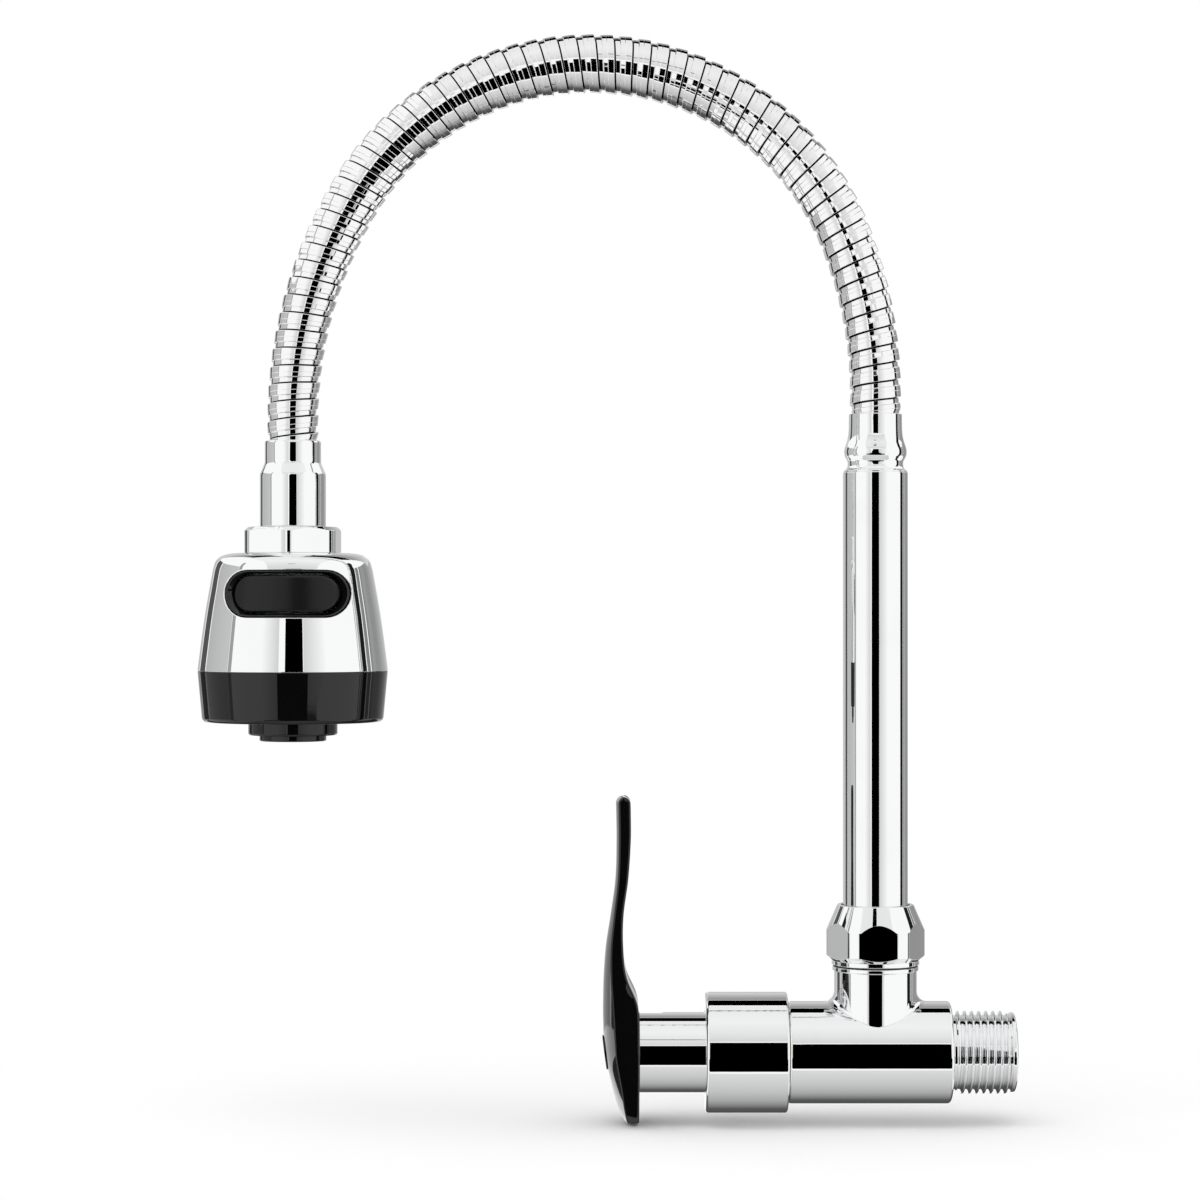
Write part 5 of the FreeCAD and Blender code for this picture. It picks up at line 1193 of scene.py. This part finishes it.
sections = [(height, lever_section(height, inset)) for height, inset in lever_rows()]
places = []
for height, section in sections:
    places.append([Vector((across, aside, height)) for across, aside, *direction in section])
rows = []
for number, (height, section) in enumerate(sections):
    row = []
    for index, (across, aside, normal_across, normal_aside) in enumerate(section):
        up = places[min(number + 1, len(places) - 1)][index] - places[max(number - 1, 0)][index]
        outward = Vector((normal_across, normal_aside, 0.0)).normalized()
        if number in (0, len(sections) - 1):
            outward = Vector((0, 0, -1.0 if number == 0 else 1.0))
        elif up.length > TINY:
            outward = outward - up * (outward.dot(up) / up.length_squared)
            if abs(normal_aside) > SIDE_FACING:
                outward.z *= SIDE_TILT
        row.append((places[number][index], outward))
    rows.append(row)
lever_shape = Shape()
lever_shape.grid(rows, closed_columns=True)
for row in (rows[0], rows[-1]):
    lever_shape.face([lever_shape.vertex(*pair) for pair in row])
lever_shape.piece("lever_handle", "black_gloss", "handle", ["lever"])
print("lever points", len(lever_shape.points))

# %% [markdown]
# ## The cap over the handle's screw
# A plain round cap closes the hole of the handle's screw. The lever's front leans a little at that height,
# and the cap leans with it.

# %% The cap
CAP_RADIUS = reach_of("index_cap")
CAP_PROUD = 0.12
CAP_DEPTH = 1.4
front_below, cap_front, front_above = (lever_sizes(height)[0] for height in (-CAP_RADIUS, 0.0, CAP_RADIUS))
lever_slope = math.atan2(front_below - front_above, 2 * CAP_RADIUS)
cap_axis = Axis((cap_front, 0, 0), (-math.cos(lever_slope), 0, -math.sin(lever_slope)), (0, -1, 0))
turned("index_cap_disc", cap_axis, closed_profile([
    (-CAP_DEPTH, 0.0), (-CAP_DEPTH, CAP_RADIUS), (CAP_PROUD, CAP_RADIUS, 0.12), (CAP_PROUD, 0.0)], 0.05),
    "black_gloss", "handle", ["index_cap"])
print("cap leans", round(math.degrees(lever_slope), 1), "degrees")

# %% [markdown]
# ## The spray head
# The shell is a drawn metal bell with a soft shoulder and a pill-shaped window. The window is cut in the
# flat map of the bell, where a place is an angle and a drop, and each point is then wrapped back on the
# bell. A Boolean cut would leave long thin faces, which show in chrome.

# %% The bell's outline
shell_top, shell_foot = drops("head_shell")
# Drop below the shell's top and radius, down the outside
SHELL_LINE = [
    (0.03, 11.5), (0.07, 14.0), (0.28, 16.2), (0.75, 17.9), (1.55, 19.1), (2.7, 19.85), (4.6, 20.35),
    (8.5, 21.05), (14.5, 22.1), (20.5, 22.98), (26.0, 23.7), (28.4, 24.0), (29.8, 24.16)]
shell_outline = smooth_line(SHELL_LINE, 8)
BUTTON_DROP = 10.4


def shell_at(drop):
    """Return the bell's radius and the direction it faces at a drop below its top."""
    for first, second in zip(shell_outline, shell_outline[1:]):
        if first[0] <= drop <= second[0]:
            share = (drop - first[0]) / (second[0] - first[0])
            return [a + (b - a) * share for a, b in zip(first[1:], second[1:])]
    return list(shell_outline[-1][1:])


def shell_pair(angle, drop):
    """Return a place on the bell and the direction it faces."""
    radius, lean, out = shell_at(drop)
    return head_axis.pair(shell_top + drop, radius, angle, lean, out)


def pill(half_length, half_height, steps=14):
    """Return a pill outline: (across, down, direction across, direction down), once round."""
    line = []
    flat = half_length - half_height
    for side in (1, -1):
        for step in range(steps + 1):
            angle = math.pi * step / steps - math.pi / 2
            line.append((side * (flat + half_height * math.cos(angle)), side * half_height * math.sin(angle),
                         side * math.cos(angle), side * math.sin(angle)))
        for step in range(1, steps):
            across = side * flat * (1 - 2 * step / steps)
            line.append((across, side * half_height, 0.0, side))
    return line


# %% The window's lip and the bell's front
WINDOW = (15.95, 5.85)   # half length and half height
WINDOW_WALL = 1.6
LIP = 0.35
PATCH_TURN = 0.95
PATCH_DROP = 7.6
FAR_AWAY = 1e6
ANGLE_WEIGHT = 12.95   # how many millimetres a radian counts for when two places are compared


def wrap(across, down):
    """Return the angle and drop on the bell of a place seen from the front."""
    drop = BUTTON_DROP + down
    return -math.asin(across / shell_at(drop)[0]), drop


def patch_edge(angle, drop):
    """Return where the ray from the window's middle leaves the mapped part of the bell."""
    reaches = [FAR_AWAY]
    if abs(angle) > TINY:
        reaches.append(PATCH_TURN / abs(angle))
    if abs(drop - BUTTON_DROP) > TINY:
        reaches.append(PATCH_DROP / abs(drop - BUTTON_DROP))
    return angle * min(reaches), BUTTON_DROP + (drop - BUTTON_DROP) * min(reaches)


window_line = pill(*WINDOW)
lip_places = [wrap(across + out_across * LIP, down + out_down * LIP)
              for across, down, out_across, out_down in window_line]
edge_places = [patch_edge(*place) for place in lip_places]
for corner in [(a * PATCH_TURN, BUTTON_DROP + d * PATCH_DROP) for a in (1, -1) for d in (1, -1)]:
    nearest = min(range(len(edge_places)), key=lambda index: math.hypot(
        (edge_places[index][0] - corner[0]) * ANGLE_WEIGHT, edge_places[index][1] - corner[1]))
    edge_places[nearest] = corner
shell_shape = Shape()
rows = []
for (across, down, out_across, out_down), start, end in zip(window_line, lip_places, edge_places):
    place, facing = shell_pair(*start)
    inward = Vector((-out_across, 0.0, out_down))
    wall = place + (inward - facing) * LIP
    row = [(wall + Vector((0, WINDOW_WALL, 0)), inward)]
    for step in range(ARC_STEPS):
        direction = inward.slerp(facing, step / ARC_STEPS)
        row.append((place + (direction - facing) * LIP, direction))
    for ring in range(PATCH_RINGS + 1):
        share = ring / PATCH_RINGS
        row.append(shell_pair(*[a + (b - a) * share for a, b in zip(start, end)]))
    rows.append(row)
shell_shape.grid(rows, closed_rows=True)

# %% The rest of the bell
REST_STEPS = 64
NECK_BORE = 9.95
NECK_DEPTH = 6.0
MOUTH_BORE = 22.3
MOUTH_INSIDE = 21.0
MOUTH_DEPTH = 12
BAND_GAP = 0.05
edge_drops = sorted(drop for angle, drop in edge_places if abs(angle - PATCH_TURN) < ON_EDGE)
rest = [PATCH_TURN + 2 * (math.pi - PATCH_TURN) * step / REST_STEPS for step in range(REST_STEPS + 1)]
shell_shape.grid([[shell_pair(angle, drop) for drop in edge_drops] for angle in rest])


def ring_round_bell(edge_drop, band, line):
    """Close the bell above or below the mapped part, and add the profile line that ends it."""
    angles = sorted(a for a, drop in edge_places if abs(drop - edge_drop) < ON_EDGE) + rest[1:-1]
    drops_here = [point[0] for point in shell_outline if band[0] <= point[0] <= band[1]]
    drops_here = sorted(drops_here + [edge_drop])
    shell_shape.grid([[shell_pair(angle, drop) for drop in drops_here] for angle in angles], closed_rows=True)
    shell_shape.grid([[head_axis.pair(along, radius, angle, lean, out) for along, radius, lean, out in line]
                      for angle in angles], closed_rows=True)


top_drop, top_radius = SHELL_LINE[0]
foot_drop, foot_radius = SHELL_LINE[-1]
neck = rounded([(shell_top + NECK_DEPTH, NECK_BORE), (shell_top + top_drop, NECK_BORE),
                (shell_top + top_drop, top_radius)], 0.3)
mouth = rounded([(shell_top + foot_drop, foot_radius), (shell_foot, foot_radius), (shell_foot, MOUTH_BORE),
                 (shell_foot - MOUTH_DEPTH, MOUTH_INSIDE)], 0.15)
patch_top, patch_foot = BUTTON_DROP - PATCH_DROP, BUTTON_DROP + PATCH_DROP
ring_round_bell(patch_top, (0.0, patch_top - BAND_GAP), neck)
ring_round_bell(patch_foot, (patch_foot + BAND_GAP, foot_drop), mouth)
shell_shape.piece("head_bell", "chrome", "head", ["head_shell"])
print("bell points", len(shell_shape.points))

# %% [markdown]
# ## The bezel and the rocker button
# The button lies in a dished black bezel. The bezel's wide ends slope in towards the button and catch a
# grey light, its long sides are close. The button is a pill with a soft edge, and its left end is pressed
# in, so it is drawn straight and then turned about its pin like the real one.

# %% The bezel
# Half length and half height of the two pills
BEZEL = (15.5, 5.7)
BUTTON = (13.3, 4.62)
BUTTON_CLEARANCE = 0.42
BEZEL_RIM = 0.42
BEZEL_PROUD = 0.25
BEZEL_SINK = 1.5
BEZEL_DISH = 1.1
BEZEL_WELL = 4.2


def front_place(across, down, proud):
    """Return a place in front of the bell's middle line and the bell's direction there."""
    radius = shell_at(BUTTON_DROP + down)[0] + proud
    angle = -math.asin(max(-1.0, min(1.0, across / radius)))
    return head_axis.pair(shell_top + BUTTON_DROP + down, radius, angle, 0.0, 1.0)


def bezel_profile(gap):
    """Return the bezel's profile across the gap between its outer edge and the button's opening."""
    return rounded([(0.0, -BEZEL_SINK), (0.0, BEZEL_PROUD, 0.22), (BEZEL_RIM, BEZEL_PROUD, 0.22),
                    (gap, -BEZEL_DISH, 0.15), (gap, -BEZEL_WELL)], 0.2)


bezel_shape = Shape()
outer_pill = pill(*BEZEL)
inner_pill = pill(*[size + BUTTON_CLEARANCE for size in BUTTON])
rows = []
for (across, down, push_across, push_down), inner in zip(outer_pill, inner_pill):
    step_across, step_down = inner[0] - across, inner[1] - down
    gap = math.hypot(step_across, step_down)
    outward = Vector((push_across, 0.0, -push_down))
    row = []
    for inset, proud, lean, out in bezel_profile(gap):
        share = inset / gap
        place, facing = front_place(across + step_across * share, down + step_down * share, proud)
        row.append((place, facing * out - outward * lean))
    rows.append(row)
bezel_shape.grid(rows, closed_rows=True)
bezel_shape.piece("button_bezel_frame", "black_gloss", "head", ["button_bezel"])
print("bezel points", len(bezel_shape.points))

# %% The rocker button
PIVOT_REACH = 15.0
BUTTON_TILT = math.radians(6.0)
BUTTON_SINK = 3.2
BUTTON_PROUD = 0.45
BUTTON_EDGE = 0.75
FACE_SHARES = (0.4, 0.6, 0.8)
pivot = Vector((HEAD_ACROSS, -PIVOT_REACH, 0.0))


def tilt(vector):
    """Turn a direction the way the pressed button is turned."""
    return Vector((vector.x * math.cos(BUTTON_TILT) + vector.y * math.sin(BUTTON_TILT),
                   -vector.x * math.sin(BUTTON_TILT) + vector.y * math.cos(BUTTON_TILT), vector.z))


button_shape = Shape()
profile = rounded([(0.0, -BUTTON_SINK), (0.0, BUTTON_PROUD), (BUTTON[1], BUTTON_PROUD)], BUTTON_EDGE)
face_steps = [(BUTTON[1] * share, BUTTON_PROUD, 0.0, 1.0) for share in FACE_SHARES]
profile = profile[:-1] + face_steps + profile[-1:]
rows = []
for across, down, push_across, push_down in pill(*BUTTON):
    row = []
    for inset, proud, lean, out in profile:
        place, facing = front_place(across - push_across * inset, down - push_down * inset, proud)
        outward = Vector((push_across, 0.0, -push_down))
        row.append((pivot + tilt(place - pivot), tilt(facing * out - outward * lean)))
    rows.append(row)
button_shape.grid(rows, closed_rows=True)
button_shape.piece("rocker_button_face", "black_satin", "rocker", ["rocker_button"])
print("button tilt", round(math.degrees(BUTTON_TILT), 1))

# %% [markdown]
# ## The studio
# Chrome has no colour of its own: it shows the room. The photographer stood the faucet in a white tent,
# with the dark camera looking in through a slot, so every chrome form carries one black stripe. Here the
# world is the white tent, and black and grey cards give the stripes. A card shows only in reflections:
# the camera, the shadows and the soft light pass through it.

# %% Cards
CENTRE = Vector((-0.089, 0.0, 0.09))
WHITE = colour(1.0, 1.0, 1.0)


def empty_graph(owner):
    """Give a material or a world an empty graph of nodes."""
    owner.use_nodes = True
    owner.node_tree.nodes.clear()
    return Signal(owner.node_tree)


card_material = bpy.data.materials.new("Card")
graph = empty_graph(card_material)
card_grey = graph.add("ShaderNodeAttribute", {"attribute_name": "grey"}, output=2)
dark_glow = graph.add("ShaderNodeEmission", {}, {"Color": BLACK, "Strength": 1.0})
white_glow = graph.add("ShaderNodeEmission", {}, {"Color": WHITE, "Strength": 1.0})
card_glow = graph.add("ShaderNodeMixShader", {}, {0: card_grey, 1: dark_glow, 2: white_glow})
graph.add("ShaderNodeOutputMaterial", {}, {"Surface": card_glow})


def make_card(name, places, faces, greys):
    """Make a card that only mirrors see, with a grey from 0 to 1 at every corner."""
    mesh = bpy.data.meshes.new(name)
    mesh.from_pydata(places, [], faces)
    shade = mesh.attributes.new("grey", "FLOAT", "POINT")
    for number, grey in enumerate(greys):
        shade.data[number].value = grey
    mesh.materials.append(card_material)
    card = bpy.data.objects.new(name, mesh)
    bpy.context.scene.collection.objects.link(card)
    card.visible_camera = False
    card.visible_diffuse = False
    card.visible_shadow = False
    card.visible_transmission = False


def strip_card(name, left, right, greys):
    """Make a card between two rows of places, with one grey for each pair."""
    faces = [(i, i + 1, len(left) + i + 1, len(left) + i) for i in range(len(left) - 1)]
    make_card(name, left + right, faces, greys + greys)


# The dark slot by height: how far it reaches to the left and right, in metres. It widens below the table.
SLOT = [(0.42, 0.150, 0.200), (0.24, 0.150, 0.200), (0.19, 0.205, 0.205), (0.10, 0.215, 0.215),
        (-0.05, 0.215, 0.215), (-0.075, 0.48, 0.42), (-0.10, 0.66, 0.66), (-0.52, 0.66, 0.66)]
SLOT_DISTANCE = 0.9
strip_card("card_camera_slot", [(CENTRE.x - left, -SLOT_DISTANCE, height) for height, left, right in SLOT],
           [(CENTRE.x + right, -SLOT_DISTANCE, height) for height, left, right in SLOT], [0.0] * len(SLOT))


def panel_card(name, left, right, low, high, distance, grey):
    """Stand one flat card in front of the object, parallel to it."""
    strip_card(name, [(left, -distance, low), (right, -distance, low)],
               [(left, -distance, high), (right, -distance, high)], [grey, grey])


# The thin dark card high up draws the dark mark on the cone of the spout nut
panel_card("card_high_front", CENTRE.x - 0.13, CENTRE.x + 0.064, 0.812, 0.858, 0.9, 0.0)
panel_card("card_bright_left", -0.65, -0.253, -0.058, -0.022, 0.45, 1.0)
panel_card("card_bright_right", 0.143, 0.55, -0.058, -0.022, 0.45, 1.0)

# %% Curved cards with falling greys
CARD_STEP = 4.0   # degrees between two rows of places on a curved card


def directions_between(stations):
    """Return directions every few degrees with the grey between the stations."""
    found = []
    for (start, grey), (end, following) in zip(stations, stations[1:]):
        steps = max(1, round(abs(end - start) / CARD_STEP))
        found += [(start + (end - start) * step / steps, grey + (following - grey) * step / steps)
                  for step in range(steps)]
    return found + [stations[-1]]


def upright_card(name, stations, low=-0.12, high=0.44, distance=0.95):
    """Stand a curved card round the object; a station is a turn to the right of the front and a grey."""
    found = directions_between(stations)
    rows = []
    for height in (low, high):
        rows.append([(CENTRE.x + distance * math.sin(math.radians(direction)),
                      -distance * math.cos(math.radians(direction)), height) for direction, grey in found])
    strip_card(name, rows[0], rows[1], [grey for direction, grey in found])


upright_card("card_left_fade", [(-38, 1.0), (-17, 0.66)])
upright_card("card_right_fade", [(13.5, 0.66), (42, 0.98)])
upright_card("card_left_edge", [(-81, 0.35), (-76, 0.35)], -0.5, 0.7)
upright_card("card_left_side", [(-122, 0.47), (-81.5, 0.57)])
upright_card("card_left_back", [(-142, 0.09), (-124, 0.09)])
upright_card("card_left_rear", [(-178, 0.6), (-145, 0.5)])
upright_card("card_right_edge", [(94.5, 0.012), (107.5, 0.012)], -0.5, 0.7)
upright_card("card_right_side", [(109, 0.26), (116, 0.2)])
upright_card("card_right_back", [(118, 0.20), (124, 0.34), (136, 0.26)])
upright_card("card_right_rear", [(136.1, 0.26), (178, 0.6)])


def overhead_card(name, stations, left, right, distance=SLOT_DISTANCE):
    """Hang a curved card along the faucet's width; a station is a direction from the front over the top."""
    found = directions_between(stations)
    rows = []
    for edge in (left, right):
        rows.append([(edge, -distance * math.cos(math.radians(direction)),
                      distance * math.sin(math.radians(direction))) for direction, grey in found])
    strip_card(name, rows[0], rows[1], [grey for direction, grey in found])


overhead_card("card_high_fade", [(27, 0.70), (42, 0.82), (65, 0.92), (105, 0.86)], -0.9, 0.8, 1.3)
overhead_card("card_overhead", [(107, 0.0), (124, 0.0)], -0.55, 0.45)
overhead_card("card_overhead_back", [(125, 0.27), (160, 0.69)], -0.55, 0.45)
overhead_card("card_low", [(-34, 0.74), (-70, 0.58), (-95, 0.42), (-128, 0.10), (-165, 0.06)], -0.9, 0.8)

# %% [markdown]
# ## Table, world and lamp
# The table is a wide white disc. Near the faucet it is a real surface that keeps the soft shadow; far out
# it fades into the white of the tent, so no edge shows. A large soft lamp above the front adds a little
# direction to the shadow.

# %% Table
TABLE_HEIGHT = cad_box[0][2] - 0.0003
TABLE_RADIUS = 4.0
SPOT_SHIFT = (0.05, 0.0, 0.0)
SPOT_FADE = (0.09, 0.24)
bpy.ops.mesh.primitive_circle_add(vertices=96, radius=TABLE_RADIUS, fill_type="NGON",
                                  location=(CENTRE.x, 0, TABLE_HEIGHT))
table = bpy.context.object
table.name = "table"
table_material = bpy.data.materials.new("Table")
graph = empty_graph(table_material)
spot = graph.add("ShaderNodeTexCoord", output=3)
spot = graph.add("ShaderNodeVectorMath", {"operation": "SUBTRACT"}, {0: spot, 1: SPOT_SHIFT})
distance = graph.add("ShaderNodeVectorMath", {"operation": "LENGTH"}, {0: spot}, output=1)
matt = graph.add("ShaderNodeBsdfDiffuse", {}, {"Color": colour(0.95, 0.95, 0.95)})
white = graph.add("ShaderNodeEmission", {}, {"Color": WHITE, "Strength": 1.0})
surface = graph.add("ShaderNodeMixShader", {}, {0: distance.between(*SPOT_FADE), 1: matt, 2: white})
graph.add("ShaderNodeOutputMaterial", {}, {"Surface": surface})
table.data.materials.append(table_material)
table.visible_glossy = False
print("table height", round(TABLE_HEIGHT, 4))

# %% World
SOFT_LIGHT = 0.9
SEEN_RAYS = ("Is Camera Ray", "Is Glossy Ray", "Is Transmission Ray")
world = bpy.data.worlds.new("White tent")
bpy.context.scene.world = world
graph = empty_graph(world)
camera_ray, glossy_ray, passing_ray = [graph.add("ShaderNodeLightPath", output=name) for name in SEEN_RAYS]
seen = graph.math("MINIMUM", camera_ray + glossy_ray + passing_ray, 1.0)
strength = SOFT_LIGHT + (1.0 - SOFT_LIGHT) * seen
tent = graph.add("ShaderNodeBackground", {}, {"Color": WHITE, "Strength": strength})
graph.add("ShaderNodeOutputWorld", {}, {"Surface": tent})
print("soft light", SOFT_LIGHT)

# %% Lamp
lamp_data = bpy.data.lights.new("soft_box", "AREA")
lamp_data.shape = "RECTANGLE"
lamp_data.size = 1.2
lamp_data.size_y = 0.8
lamp_data.energy = 5.0
lamp = bpy.data.objects.new("soft_box", lamp_data)
bpy.context.scene.collection.objects.link(lamp)
lamp.location = (CENTRE.x - 0.25, -0.35, 1.4)
lamp.rotation_euler = (CENTRE - lamp.location).to_track_quat("-Z", "Y").to_euler()
lamp.visible_glossy = False
print("lamp", lamp_data.energy, "watts")

# %% [markdown]
# ## The camera
# The photograph was taken from straight in front with a long lens. Its frame shows the faucet square on.

# %% Camera
camera_data = bpy.data.cameras.new("camera")
camera_data.sensor_width = 36.0
camera_data.lens = 103.2
camera_data.clip_start = 0.05
camera = bpy.data.objects.new("camera", camera_data)
bpy.context.scene.collection.objects.link(camera)
camera.location = (-0.08925, -0.877, 0.11526)
camera.rotation_euler = (math.radians(90), 0, 0)
bpy.context.scene.camera = camera
bpy.context.scene.view_settings.view_transform = "Standard"
print("camera", [round(value, 3) for value in camera.location], "lens", round(camera_data.lens, 1))
